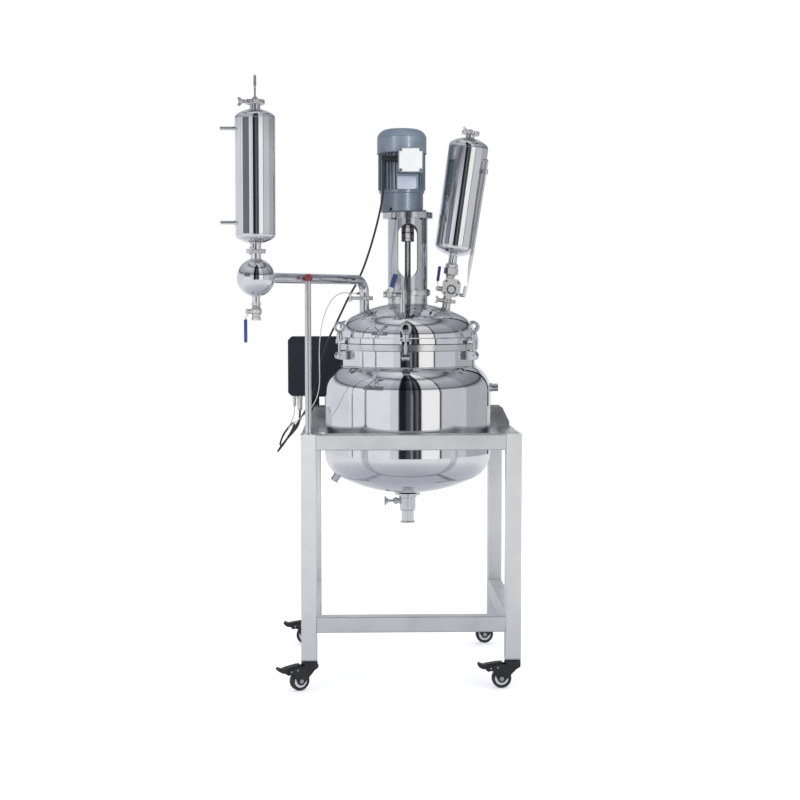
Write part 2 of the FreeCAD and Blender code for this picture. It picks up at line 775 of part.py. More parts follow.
def make_pedal(corner, side_x, side_y, heading):
    """Brake pedal on its rivet, with the cam that presses on the tread."""
    name = f"caster_pedal_{corner}"
    x = S["pedal_pin_x"]
    z = S["pedal_pin_z"]
    outline = [
        (x - 11, z - 3),
        (x - 2, z - 9),
        (x + 7, z - 12),
        (x + 13, z - 9),
        (x + 16, z - 4),
        (x + 26, z - 3),
        (x + 40, z + 6, 30, 1),
        (x + 43, z + 11),
        (x + 38, z + 17),
        (x + 24, z + 11, 26, -1),
        (x + 10, z + 14.5),
        (x - 20, z + 19),
        (x - 36, z + 20),
        (x - 36, z + 14),
        (x - 20, z + 8),
    ]
    body = plate(f"{name}_body", "XZ_Plane", S["pedal_width"], outline)
    radius = S["rivet_radius"] + S["running_gap"]
    rivets = [
        crosspin(f"{name}_hole", radius, 60, x, z),
        crosspin(f"{name}_slot", 7, 60, x - 22, z + 3),
    ]
    keep(name, caster_spot(cut(name, body, rivets), side_x, side_y, heading))


# Vessel and jacket

def make_inner_vessel():
    """Product vessel: straight neck, dished bottom and outlet pipe."""
    wall = S["vessel_wall"]
    outer = shell_solid(
        "vessel_outer",
        S["vessel_radius"],
        S["vessel_tangent"],
        S["flange_top"],
        low_head=(VESSEL_CROWN, VESSEL_KNUCKLE),
    )
    inner = shell_solid(
        "vessel_inner",
        S["vessel_radius"] - wall,
        S["vessel_tangent"],
        S["flange_top"] + 10,
        low_head=(VESSEL_CROWN - wall, VESSEL_KNUCKLE - wall),
    )
    low = S["drain_flange_top"] - S["drain_flange_thick"]
    high = S["vessel_tangent"] - 0.45 * S["vessel_radius"]
    pipe = place(cylinder("outlet_pipe", S["outlet_radius"], high - low), 0, 0, low)
    bore = place(cylinder("outlet_bore", S["seat_bore"], high - low), 0, 0, low)
    whole = fuse("vessel_whole", [outer, pipe])
    keep("inner_vessel", on_axis(cut("inner_vessel", whole, [inner, bore])))


def nozzle_path(name, radius, out):
    """Cylinders through the shell where the two jacket nozzles stand."""
    inside = 16
    high = cylinder(f"{name}_high", radius, out + inside)
    place(high, S["jacket_radius"] - inside, 0, S["nozzle_high"], Y_AXIS, 90)
    low = cylinder(f"{name}_low", radius, out + inside)
    angle = S["nozzle_angle"]
    start = JACKET_KNUCKLE - inside
    centre = S["jacket_radius"] - JACKET_KNUCKLE
    place(
        low,
        -(centre + start * sine(angle)),
        0,
        S["jacket_low"] - start * cosine(angle),
        Y_AXIS,
        180 + angle,
    )
    return [high, low]


def jacket_solid(name, offset):
    """The jacket's outer form, or its inner form at an offset of one wall."""
    return shell_solid(
        name,
        S["jacket_radius"] - offset,
        S["jacket_low"],
        S["jacket_high"],
        low_head=(JACKET_CROWN - offset, JACKET_KNUCKLE - offset),
        high_head=(JACKET_CROWN - offset, JACKET_KNUCKLE - offset),
    )


def make_jacket():
    """Heating jacket welded round the vessel below its flange."""
    outer = jacket_solid("jacket_outer", 0)
    inner = jacket_solid("jacket_inner", S["jacket_wall"])
    neck = cylinder("jacket_neck", S["vessel_radius"] + S["weld_gap"], 300)
    place(neck, 0, 0, S["jacket_high"])
    drain = cylinder("jacket_drain", S["outlet_radius"] + S["weld_gap"], 200)
    place(drain, 0, 0, S["drain_flange_top"] - 50)
    collar = S["nozzle_radius"] + S["collar"]
    holes = nozzle_path("jacket_hole", collar, S["nozzle_out"])
    tools = [inner, neck, drain, *holes]
    keep("jacket_shell", on_axis(cut("jacket_shell", outer, tools)))


def make_jacket_nozzles():
    """Heating medium nozzles, high on the right and low on the left."""
    radius = S["nozzle_radius"]
    outer = nozzle_path("nozzle", radius, S["nozzle_out"])
    feet = nozzle_path("nozzle_foot", radius + S["collar"], S["collar_out"])
    inner = nozzle_path("nozzle_bore", S["nozzle_bore"], S["nozzle_out"] + 1)
    pair = []
    for index, tag in enumerate(("upper", "lower")):
        whole = fuse(f"nozzle_{tag}_whole", [outer[index], feet[index]])
        pair.append(cut(f"nozzle_{tag}", whole, [inner[index]]))
    keep("jacket_nozzles", on_axis(group("jacket_nozzles", pair)))


def make_body_flange():
    """Body flange with the six clevises that carry the swing bolts."""
    inner = S["vessel_radius"] + S["weld_gap"]
    ring = turned(
        "body_ring",
        [
            (inner, S["flange_low"]),
            (S["flange_radius"] - 3, S["flange_low"]),
            (S["flange_radius"], S["flange_low"] + 3),
            (S["flange_radius"], S["flange_top"]),
            (inner, S["flange_top"]),
        ],
    )
    pivot = S["bolt_pivot"]
    reach = S["bolt_circle"]
    end = S["bolt_eye"] + 2
    outline = [
        (inner - 4, pivot - end),
        (reach, pivot - end),
        (reach + end, pivot, end, 1),
        (reach, pivot + end, end, 1),
        (inner - 4, S["flange_low"] + 2),
    ]
    across = (S["lug_gap"] + S["lug_thick"]) / 2
    span = S["lug_gap"] + 2 * S["lug_thick"] + 6
    lugs = []
    for index in CLAMPS:
        cheeks = []
        for side in (-1, 1):
            tag = "a" if side < 0 else "b"
            cheek = plate(
                f"lug_{index}_{tag}", "XZ_Plane", S["lug_thick"], outline
            )
            cheeks.append(place(cheek, 0, side * across, 0))
        pin = crosspin(f"lug_{index}_pin", S["bolt_radius"], span, reach, pivot)
        lug = fuse(f"lug_{index}", [*cheeks, pin])
        lugs.append(place(lug, 0, 0, 0, Z_AXIS, clamp_angle(index)))
    core = cylinder("lug_core", inner, S["flange_top"] - pivot + end + 10)
    place(core, 0, 0, pivot - end - 5)
    joined = fuse("flange_and_lugs", [ring, *lugs])
    keep("body_flange", on_axis(cut("body_flange", joined, [core])))


def clamp_angle(index):
    """Azimuth of one swing bolt."""
    return S["clamp_first"] + index * CLAMP_STEP


def make_gasket():
    """Gasket between the body flange and the lid flange."""
    inner = S["vessel_radius"] - S["vessel_wall"] + 1
    rim = S["flange_radius"] - 1
    ring = turned(
        "gasket_ring",
        [(inner, S["flange_top"]), (rim, S["flange_top"]), (rim, GASKET_TOP), (inner, GASKET_TOP)],
    )
    keep("lid_gasket", on_axis(group("lid_gasket", [ring])))


def lid_solid(name, offset, low):
    """The lid's outer form, or its inner form at an offset of one wall."""
    return shell_solid(
        name,
        S["vessel_radius"] - offset,
        low,
        S["lid_flange_top"],
        high_head=(VESSEL_CROWN - offset, VESSEL_KNUCKLE - offset),
    )


def port_path(name, shrink):
    """Cylinders that stand where the pipes go through the lid."""
    vapour = cylinder(f"{name}_vapour", S["pipe_radius"] - shrink, 110)
    place(vapour, S["vapour_x"], S["vapour_y"], S["lid_flange_top"] + 50)
    dosing = cylinder(f"{name}_dosing", S["dosing_pipe"] - shrink, 200)
    angle = S["dosing_tilt"]
    back = 40
    place(
        dosing,
        S["dosing_x"] - back * sine(angle),
        0,
        S["dosing_base"] - back * cosine(angle),
        Y_AXIS,
        angle,
    )
    vent = cylinder(f"{name}_vent", S["vent_radius"] - shrink, 110)
    place(vent, S["vent_x"], S["vent_y"], S["lid_flange_top"] + 50)
    neck = cylinder(f"{name}_neck", S["neck_radius"] - shrink, 110)
    place(neck, 0, 0, LID_TOP - 30)
    return [vapour, dosing, vent, neck]


def make_lid():
    """Lid: rim flange, dished dome and six forked ears."""
    outer = lid_solid("lid_outer", 0, GASKET_TOP)
    rim = turned(
        "lid_rim",
        [
            (S["vessel_radius"] - 6, GASKET_TOP),
            (S["flange_radius"], GASKET_TOP),
            (S["flange_radius"], S["lid_flange_top"] - 3),
            (S["flange_radius"] - 3, S["lid_flange_top"]),
            (S["vessel_radius"] - 6, S["lid_flange_top"]),
        ],
    )
    half = S["ear_width"] / 2
    slot = S["bolt_radius"] + 1
    reach = S["bolt_circle"]
    end = reach + S["ear_reach"]
    outline = [
        (S["vessel_radius"] - 1, -half),
        (end - 6, -half),
        (end, 6 - half, 6, 1),
        (end, -slot),
        (reach, -slot),
        (reach - slot, 0, slot, -1),
        (reach, slot, slot, -1),
        (end, slot),
        (end, half - 6),
        (end - 6, half, 6, 1),
        (S["vessel_radius"] - 1, half),
    ]
    ears = []
    for index in CLAMPS:
        ear = extruded(f"lid_ear_{index}", S["ear_thick"], outline)
        ears.append(place(ear, 0, 0, GASKET_TOP, Z_AXIS, clamp_angle(index)))
    inner = lid_solid("lid_inner", S["vessel_wall"], GASKET_TOP - 10)
    whole = fuse("lid_whole", [outer, rim, *ears])
    tools = [inner, *port_path("lid_hole", 0)]
    keep("lid_shell", on_axis(cut("lid_shell", whole, tools)))


def ferrule(name, pipe, way):
    """One clamp ferrule at the origin, its mating face at z = 0.

    way is 1 for a ferrule whose pipe goes up and -1 for one whose pipe goes down.
    """
    rim = S["ferrule_radius"]
    half = S["ferrule_half"]
    back = half + 0.36 * (rim - pipe)
    bore = pipe - S["pipe_wall"]
    face = 0.15
    loop = [
        (bore, way * face),
        (rim, way * face),
        (rim, way * half),
        (pipe, way * back),
        (bore, way * back),
    ]
    return turned(name, loop)


def stub(name, pipe, length, way):
    """A short pipe that ends in a ferrule at the origin."""
    bore = pipe - S["pipe_wall"]
    near = 0.15
    low = near if way > 0 else -length
    tube = turned(
        f"{name}_tube",
        [
            (bore, low),
            (pipe, low),
            (pipe, low + length - near),
            (bore, low + length - near),
        ],
    )
    return fuse(name, [tube, ferrule(f"{name}_ferrule", pipe, way)])


def make_lid_ports():
    """Pipes welded into the lid: vapour, dosing, vent and the stand's neck."""
    inside = 5
    vapour_out = root(
        S["vapour_x"] * S["vapour_x"] + S["vapour_y"] * S["vapour_y"]
    )
    vapour_low = S["lid_flange_top"] - inside + head_rise(
        S["vessel_radius"], VESSEL_CROWN, VESSEL_KNUCKLE, vapour_out
    )
    vapour = stub("vapour_port", S["pipe_radius"], S["vapour_joint"] - vapour_low, -1)
    place(vapour, S["vapour_x"], S["vapour_y"], S["vapour_joint"])
    dosing = stub("dosing_port", S["dosing_pipe"], S["dosing_joint"] - 5, -1)
    on_dosing(dosing, S["dosing_joint"], about_axis=False)
    thick = S["neck_flange_thick"]
    bore = S["neck_radius"] - S["neck_wall"]
    top = S["neck_flange_low"] + thick
    low = LID_TOP - 12
    neck = turned(
        "lid_neck",
        [
            (bore, low),
            (S["neck_radius"], low),
            (S["neck_radius"], S["neck_flange_low"]),
            (S["neck_flange_radius"], S["neck_flange_low"]),
            (S["neck_flange_radius"], top),
            (bore, top),
        ],
    )
    holes = flange_holes("lid_neck_hole", S["neck_flange_low"] - 5, 3 * thick)
    drilled = cut("lid_neck_drilled", neck, holes)
    vent_out = root(S["vent_x"] * S["vent_x"] + S["vent_y"] * S["vent_y"])
    vent_low = S["lid_flange_top"] - inside + head_rise(
        S["vessel_radius"], VESSEL_CROWN, VESSEL_KNUCKLE, vent_out
    )
    vent_bore = S["vent_radius"] - S["pipe_wall"]
    vent_top = S["vent_z"] + S["vent_radius"] + 8
    vent_pipe = turned(
        "vent_pipe",
        [
            (0, vent_low),
            (S["vent_radius"], vent_low),
            (S["vent_radius"], vent_top - 2),
            (S["vent_radius"] - 2, vent_top),
            (0, vent_top),
        ],
    )
    length = S["vent_reach"] - 20.3
    branch = cylinder("vent_branch", S["vent_radius"] - 1, length)
    place(branch, -length, 0, S["vent_z"], Y_AXIS, 90)
    down = cylinder("vent_way", vent_bore, vent_top - vent_low - 4)
    place(down, 0, 0, vent_low - 1)
    side = cylinder("vent_branch_way", vent_bore - 1, length + 2)
    place(side, -length - 1, 0, S["vent_z"], Y_AXIS, 90)
    vent = cut("vent_port", fuse("vent_port_whole", [vent_pipe, branch]), [down, side])
    place(vent, S["vent_x"], S["vent_y"], 0)
    ports = group("lid_ports", [vapour, dosing, drilled, vent])
    keep("lid_ports", on_axis(ports))


STAND_BOLTS = 8


def flange_holes(name, low, height):
    """Bolt holes of the discs under the stand."""
    circle = (S["neck_radius"] + S["neck_flange_radius"]) / 2
    holes = []
    for index in range(STAND_BOLTS):
        angle = (index + 0.5) * 360 / STAND_BOLTS
        hole = cylinder(f"{name}_{index}", 2.1, height)
        holes.append(place(hole, circle * cosine(angle), circle * sine(angle), low))
    return holes


def make_swing_bolt(index):
    """Swing bolt on its clevis pin, with its eye nut run down to the ear."""
    name = f"swing_bolt_{index + 1}"
    width = S["bolt_eye_width"]
    eye = crosspin(f"{name}_eye", S["bolt_eye"], width, 0, 0)
    seat = EAR_TOP - S["bolt_pivot"] + S["nut_lift"]
    top = seat + S["nut_height"]
    shank = cylinder(f"{name}_shank", S["bolt_radius"], top - 2)
    bore = crosspin(
        f"{name}_bore", S["bolt_radius"] + S["running_gap"], width + 2, 0, 0
    )
    bolt = cut(f"{name}_bolt", fuse(f"{name}_rough", [eye, shank]), [bore])
    radius = S["nut_radius"]
    fit = S["bolt_radius"] + S["running_gap"]
    collar = turned(
        f"{name}_collar",
        [
            (fit, seat),
            (radius, seat),
            (radius, seat + 4),
            (radius - 2, seat + 6),
            (radius - 2, top - 6),
            (radius - 6, top),
            (0, top),
            (0, top - 1.5),
            (fit, top - 1.5),
        ],
    )
    ring = DOC.addObject("Part::Torus", f"{name}_ring")
    bind(ring, "Radius1", S["ring_radius"])
    bind(ring, "Radius2", S["ring_wire"])
    place(ring, 0, 0, top + S["ring_radius"] + S["ring_wire"] - 2, X_AXIS, 90)
    nut = fuse(f"{name}_nut", [collar, ring])
    place(nut, 0, 0, 0, Z_AXIS, -clamp_angle(index))
    pair = group(name, [bolt, nut])
    angle = clamp_angle(index)
    reach = S["bolt_circle"]
    on_axis(pair, reach * cosine(angle), reach * sine(angle), S["bolt_pivot"], Z_AXIS, angle)
    keep(name, pair)


# Bottom valve

def make_drain_valve():
    """Bottom valve: disc, body with its ball chamber, stem boss and outlet."""
    flange = S["drain_flange_top"]
    under = flange - S["drain_flange_thick"]
    jacket_low = S["jacket_low"] - head_height(
        S["jacket_radius"], JACKET_CROWN, JACKET_KNUCKLE
    )
    fit = S["outlet_radius"] + S["weld_gap"]
    disc = turned(
        "drain_disc",
        [
            (fit, under + 0.1),
            (S["drain_flange_radius"], under + 0.1),
            (S["drain_flange_radius"], flange),
            (fit + 14, flange),
            (fit + 9, jacket_low),
            (fit, jacket_low),
        ],
    )
    body_low = S["drain_body_low"]
    body = S["drain_body_radius"]
    outlet = S["outlet_radius"]
    solid = turned(
        "drain_body",
        [
            (0, under),
            (body + 4, under),
            (body + 4, under - 8),
            (body, under - 10),
            (body, body_low + 4),
            (body - 3, body_low),
            (outlet, body_low),
            (outlet, S["drain_low"] + 8),
            (S["ferrule_radius"], S["drain_low"] + 5),
            (S["ferrule_radius"], S["drain_low"]),
            (0, S["drain_low"]),
        ],
    )
    stem_z = S["drain_stem_z"]
    boss = cylinder("drain_boss", S["drain_stem_radius"] + 5, body + 22)
    place(boss, -(body + 22), 0, stem_z, Y_AXIS, 90)
    collar = cylinder("drain_collar", S["drain_stem_radius"] + 8, 6)
    place(collar, -(body + 16), 0, stem_z, Y_AXIS, 90)
    chamber = place(sphere("drain_chamber", S["drain_ball"] + 0.3), 0, 0, stem_z)
    port = place(cylinder("drain_port", S["seat_bore"], under - body_low + 2), 0, 0, body_low - 1)
    spout = cylinder("drain_spout", S["outlet_bore"], body_low - S["drain_low"] + 5)
    place(spout, 0, 0, S["drain_low"] - 5)
    reach = S["drain_stem_radius"] + S["running_gap"]
    tunnel = cylinder("drain_tunnel", reach, body + 30)
    place(tunnel, -(body + 30), 0, stem_z, Y_AXIS, 90)
    whole = fuse("drain_whole", [solid, boss, collar])
    valve = cut("drain_valve_cut", whole, [chamber, port, spout, tunnel])
    keep("drain_valve_body", on_axis(group("drain_valve_body", [disc, valve])))


def make_drain_handle():
    """Ball, stem and winged handle of the bottom valve, as one turning piece."""
    stem_z = S["drain_stem_z"]
    reach = S["drain_stem_reach"]
    ball = sphere("drain_ball", S["drain_ball"])
    way = cylinder("drain_way", S["outlet_bore"] * 0.6, 60)
    place(way, 0, 30, 0, X_AXIS, 90)
    bored = cut("drain_bored", ball, [way])
    stem = cylinder("drain_stem", S["drain_stem_radius"], reach - S["drain_ball"] + 3)
    place(stem, -reach, 0, 0, Y_AXIS, 90)
    grip = turned(
        "drain_grip",
        [
            (0, 0),
            (9, 0),
            (9, 4),
            (16, 9),
            (16, 13),
            (0, 13),
        ],
    )
    place(grip, 13 - reach, 0, 0, Y_AXIS, -90)
    handle = fuse("drain_handle", [bored, stem, grip])
    keep("drain_handle", on_axis(handle, 0, 0, stem_z))


# Supports

def make_support_lugs():
    """Brackets that carry the vessel on the frame's side rails."""
    seat = S["frame_top"]
    foot = seat + S["support_foot"]
    inside = S["jacket_radius"] - 16
    outline = [
        (inside, foot - 1),
        (S["support_reach"], foot - 1),
        (S["support_reach"], foot + 10),
        (S["support_head"], S["support_top"] - 6),
        (S["support_head"] - 9, S["support_top"], 9, 1),
        (inside, S["support_top"]),
    ]
    brackets = []
    for side, tag in ((1, "right"), (-1, "left")):
        pieces = []
        for way in (-1, 1):
            where = "front" if way < 0 else "back"
            wing = plate(f"lug_{tag}_{where}", "XZ_Plane", S["gusset"], outline)
            middle = S["support_half"] - S["gusset"] / 2
            pieces.append(place(wing, 0, way * middle, 0))
        width = S["support_reach"] - inside
        sole = block(f"lug_{tag}_foot", width, 2 * S["support_half"], S["support_foot"])
        place(sole, inside, -S["support_half"], seat)
        spine_height = S["support_top"] - foot - 6
        spine = block(f"lug_{tag}_spine", S["gusset"], 2 * S["support_half"], spine_height)
        place(spine, S["jacket_radius"] + 9, -S["support_half"], foot - 1)
        joined = fuse(f"lug_{tag}_joined", [*pieces, sole, spine])
        core = cylinder(f"lug_{tag}_core", S["jacket_radius"], S["support_top"] - seat + 10)
        place(core, 0, 0, seat - 5)
        holes = []
        for way in (-1, 1):
            hole = cylinder(f"lug_{tag}_hole_{way + 1}", 6.2, 40)
            holes.append(place(hole, lug_bolt_x(), way * lug_bolt_y(), seat - 10))
        bracket = cut(f"lug_{tag}", joined, [core, *holes])
        brackets.append(place(bracket, 0, 0, 0, Z_AXIS, 0 if side > 0 else 180))
    keep("support_lugs", on_axis(group("support_lugs", brackets)))


def lug_bolt_x():
    """Distance of the support bolts from the vessel's axis."""
    return S["support_reach"] - 17


def lug_bolt_y():
    """Distance of the support bolts from the bracket's middle."""
    return S["support_half"] - 22


def hex_bolt(name, radius, length):
    """Hexagon bolt: its head stands on z = 0 and its shank goes down."""
    head = hexagon(f"{name}_head", 3.6 * radius, 1.3 * radius)
    washer = cylinder(f"{name}_washer", 2.1 * radius, 0.3 * radius)
    place(head, 0, 0, 0.3 * radius)
    shank = place(cylinder(f"{name}_shank", radius, length), 0, 0, -length)
    return fuse(name, [head, washer, shank])


def make_bolts():
    """Fixed bolts of the support brackets, the stand's flanges and the motor."""
    bolts = []
    seat = S["frame_top"] + S["support_foot"]
    for side in (-1, 1):
        for way in (-1, 1):
            bolt = hex_bolt(f"support_bolt_{side + 1}{way + 1}", 6, S["support_foot"])
            place(bolt, side * lug_bolt_x(), way * lug_bolt_y(), seat)
            bolts.append(bolt)
    circle = (S["neck_radius"] + S["neck_flange_radius"]) / 2
    thick = S["neck_flange_thick"]
    top = S["neck_flange_low"] + 3 * thick
    for index in range(STAND_BOLTS):
        angle = (index + 0.5) * 360 / STAND_BOLTS
        bolt = hex_bolt(f"stand_bolt_{index}", 2, 3 * thick)
        nut = place(hexagon(f"stand_nut_{index}", 8.4, 3.2), 0, 0, -3 * thick - 3.2)
        whole = fuse(f"stand_bolt_{index}_whole", [bolt, nut])
        bolts.append(place(whole, circle * cosine(angle), circle * sine(angle), top))
    reach = S["gearbox_radius"] + 4.5
    thick = S["stand_plate"]
    for index in range(4):
        angle = 45 + index * 90
        bolt = hex_bolt(f"motor_bolt_{index}", 3.5, thick)
        nut = place(hexagon(f"motor_nut_{index}", 14, 5.5), 0, 0, -thick - 5.5)
        whole = fuse(f"motor_bolt_{index}_whole", [bolt, nut])
        bolts.append(
            place(whole, reach * cosine(angle), reach * sine(angle), S["stand_top"] + thick)
        )
    keep("fixing_bolts", on_axis(group("fixing_bolts", bolts)))


# Stand, drive and stirrer

def make_seal_housing():
    """Shaft seal housing clamped between the flanges under the stand."""
    bore = S["shaft_radius"] + S["running_gap"]
    low = S["neck_flange_low"] + S["neck_flange_thick"]
    top = low + S["neck_flange_thick"]
    radius = S["seal_radius"]
    housing = turned(
        "seal_turned",
        [
            (bore, low - 22),
            (radius - 6, low - 22),
            (radius - 6, low),
            (S["neck_flange_radius"], low),
            (S["neck_flange_radius"], top),
            (radius, top),
            (radius, S["seal_top"] - 14),
            (radius - 8, S["seal_top"] - 10),
            (radius - 8, S["seal_top"]),
            (bore, S["seal_top"]),
        ],
    )
    holes = flange_holes("seal_hole", low - 5, 20)
    keep("seal_housing", on_axis(cut("seal_housing", housing, holes)))


def make_stand():
    """Stand tube with its arched windows and the plate for the gear motor."""
    radius = S["neck_radius"]
    bore = radius - S["neck_wall"]
    thick = S["neck_flange_thick"]
    low = S["neck_flange_low"] + 2 * thick
    top = S["stand_top"]
    deck = top + S["stand_plate"]
    tube = turned(
        "stand_tube_turned",
        [
            (bore, low),
            (S["neck_flange_radius"], low),
            (S["neck_flange_radius"], low + thick),
            (radius, low + thick),
            (radius, top),
            (S["stand_plate_radius"], top),
            (S["stand_plate_radius"], deck - 2),
            (S["stand_plate_radius"] - 2, deck),
            (S["coupling_radius"] + 6, deck),
            (S["coupling_radius"] + 6, top),
            (bore, top),
        ],
    )
    half = S["window_half"]
    arch_low = S["window_low"] + half
    arch_high = S["window_high"] - half
    window = plate(
        "stand_window",
        "XZ_Plane",
        3 * radius,
        [
            (half, arch_high),
            (0, S["window_high"], half, 1),
            (-half, arch_high, half, 1),
            (-half, arch_low),
            (0, S["window_low"], half, 1),
            (half, arch_low, half, 1),
        ],
    )
    reach = S["gearbox_radius"] + 4.5
    tools = [window, *flange_holes("stand_hole", low - 5, 20)]
    for index in range(4):
        angle = 45 + index * 90
        hole = cylinder(f"deck_hole_{index}", 3.6, 60)
        tools.append(place(hole, reach * cosine(angle), reach * sine(angle), top - 20))
    keep("stand_tube", on_axis(cut("stand_tube", tube, tools)))


def make_stirrer_shaft():
    """Stirrer shaft below the coupling and the gearbox's output shaft above it."""
    spider_low = S["coupling_low"] + S["coupling_hub"]
    spider_top = spider_low + S["coupling_spider"]
    long_shaft = cylinder("long_shaft", S["shaft_radius"], spider_low - 1 - S["shaft_low"])
    place(long_shaft, 0, 0, S["shaft_low"])
    end = S["stand_top"] + S["stand_plate"] + 28
    output = cylinder("output_shaft", S["shaft_radius"], end - spider_top - 1)
    place(output, 0, 0, spider_top + 1)
    keep("stirrer_shaft", on_axis(group("stirrer_shaft", [long_shaft, output])))


def make_coupling():
    """Jaw coupling: two hubs with three jaws each and the star between them."""
    radius = S["coupling_radius"]
    shaft = S["shaft_radius"]
    hub = S["coupling_hub"]
    star = S["coupling_spider"]
    base = S["coupling_low"]
    hubs = []
    for tag, low, way in (("lower", base, 1), ("upper", base + 2 * hub + star, -1)):
        ring = turned(
            f"hub_{tag}_ring",
            [
                (shaft, 0),
                (radius - 2, 0),
                (radius, 2),
                (radius, 9),
                (radius - 1.5, 10.5),
                (radius, 12),
                (radius, hub),
                (shaft, hub),
            ],
        )
        pieces = [ring]
        for index in range(3):
            first = index * 120
            jaw = cylinder(f"hub_{tag}_jaw_{index}", radius, star - 1)
            jaw.Angle = 52
            lift = place(jaw, 0, 0, hub, Z_AXIS, first)
            pieces.append(lift)
        core = place(cylinder(f"hub_{tag}_core", shaft + 2, 60), 0, 0, hub)
        solid = cut(f"hub_{tag}", fuse(f"hub_{tag}_whole", pieces), [core])
        if way > 0:
            place(solid, 0, 0, low)
        else:
            place(solid, 0, 0, low, X_AXIS, 180)
        hubs.append(solid)
    webs = []
    for index in range(6):
        arm = cylinder(f"star_arm_{index}", radius - 1, star - 2)
        arm.Angle = 7
        webs.append(place(arm, 0, 0, 0, Z_AXIS, 52.5 + index * 60))
    disc = fuse("star_whole", [cylinder("star_disc", shaft + 1, star - 2), *webs])
    place(disc, 0, 0, base + hub + 1)
    keep("shaft_coupling", on_axis(group("shaft_coupling", [*hubs, disc])))


def make_anchor():
    """Anchor stirrer that follows the vessel's bottom at an even gap."""
    gap = S["vessel_wall"] + S["anchor_gap"]
    width = S["anchor_width"]
    tangent = S["vessel_tangent"]
    top = S["anchor_top"]

    def half_section(offset):
        return dished(
            S["vessel_radius"] - offset,
            tangent,
            -1,
            VESSEL_CROWN - offset,
            VESSEL_KNUCKLE - offset,
        )

    rim, knee, apex = half_section(gap)
    rim_in, knee_in, apex_in = half_section(gap + width)
    outer_crown, outer_knuckle = VESSEL_CROWN - gap, VESSEL_KNUCKLE - gap
    inner_crown, inner_knuckle = outer_crown - width, outer_knuckle - width
    blade = plate(
        "anchor_blade",
        "XZ_Plane",
        S["anchor_thick"],
        [
            (rim[0], top),
            (rim_in[0], top + 12),
            (rim_in[0], tangent),
            (knee_in[0], knee_in[1], inner_knuckle, -1),
            (0, apex_in[1], inner_crown, -1),
            (-knee_in[0], knee_in[1], inner_crown, -1),
            (-rim_in[0], tangent, inner_knuckle, -1),
            (-rim_in[0], top + 12),
            (-rim[0], top),
            (-rim[0], tangent),
            (-knee[0], knee[1], outer_knuckle, 1),
            (0, apex[1], outer_crown, 1),
            (knee[0], knee[1], outer_crown, 1),
            (rim[0], tangent, outer_knuckle, 1),
        ],
    )
    bar = block("anchor_bar", 2 * rim_in[0] + 8, S["anchor_thick"] - 2, width)
    place(bar, -(rim_in[0] + 4), 1 - S["anchor_thick"] / 2, top - 80)
    hub = cylinder("anchor_hub", S["anchor_hub"], 60)
    place(hub, 0, 0, S["shaft_low"] - 4)
    collar = cylinder("anchor_collar", S["anchor_hub"], width + 16)
    place(collar, 0, 0, top - 88)
    bore = cylinder("anchor_bore", S["shaft_radius"], 600)
    place(bore, 0, 0, S["shaft_low"])
    whole = fuse("anchor_whole", [blade, bar, hub, collar])
    keep("anchor_stirrer", on_axis(cut("anchor_stirrer", whole, [bore])))


def make_gearbox():
    """Gearbox with its output bore off the motor's axis."""
    low = S["stand_top"] + S["stand_plate"]
    top = S["gearbox_top"]
    radius = S["gearbox_radius"]
    case = turned(
        "gearbox_case",
        [
            (0, low),
            (radius - 5, low),
            (radius, low + 5, 5, 1),
            (radius, top - 12),
            (radius + 4, top - 10),
            (radius + 4, top),
            (0, top),
        ],
    )
    place(case, S["motor_x"], 0, 0)
    bore = cylinder("gearbox_bore", S["shaft_radius"] + S["running_gap"], 30)
    place(bore, 0, 0, low - 1)
    recesses = []
    reach = radius + 4.5
    for index in range(4):
        angle = 45 + index * 90
        recess = cylinder(f"gearbox_recess_{index}", 9, 14)
        recesses.append(place(recess, reach * cosine(angle), reach * sine(angle), low - 1))
    keep("gearbox", on_axis(cut("gearbox", case, [bore, *recesses])))


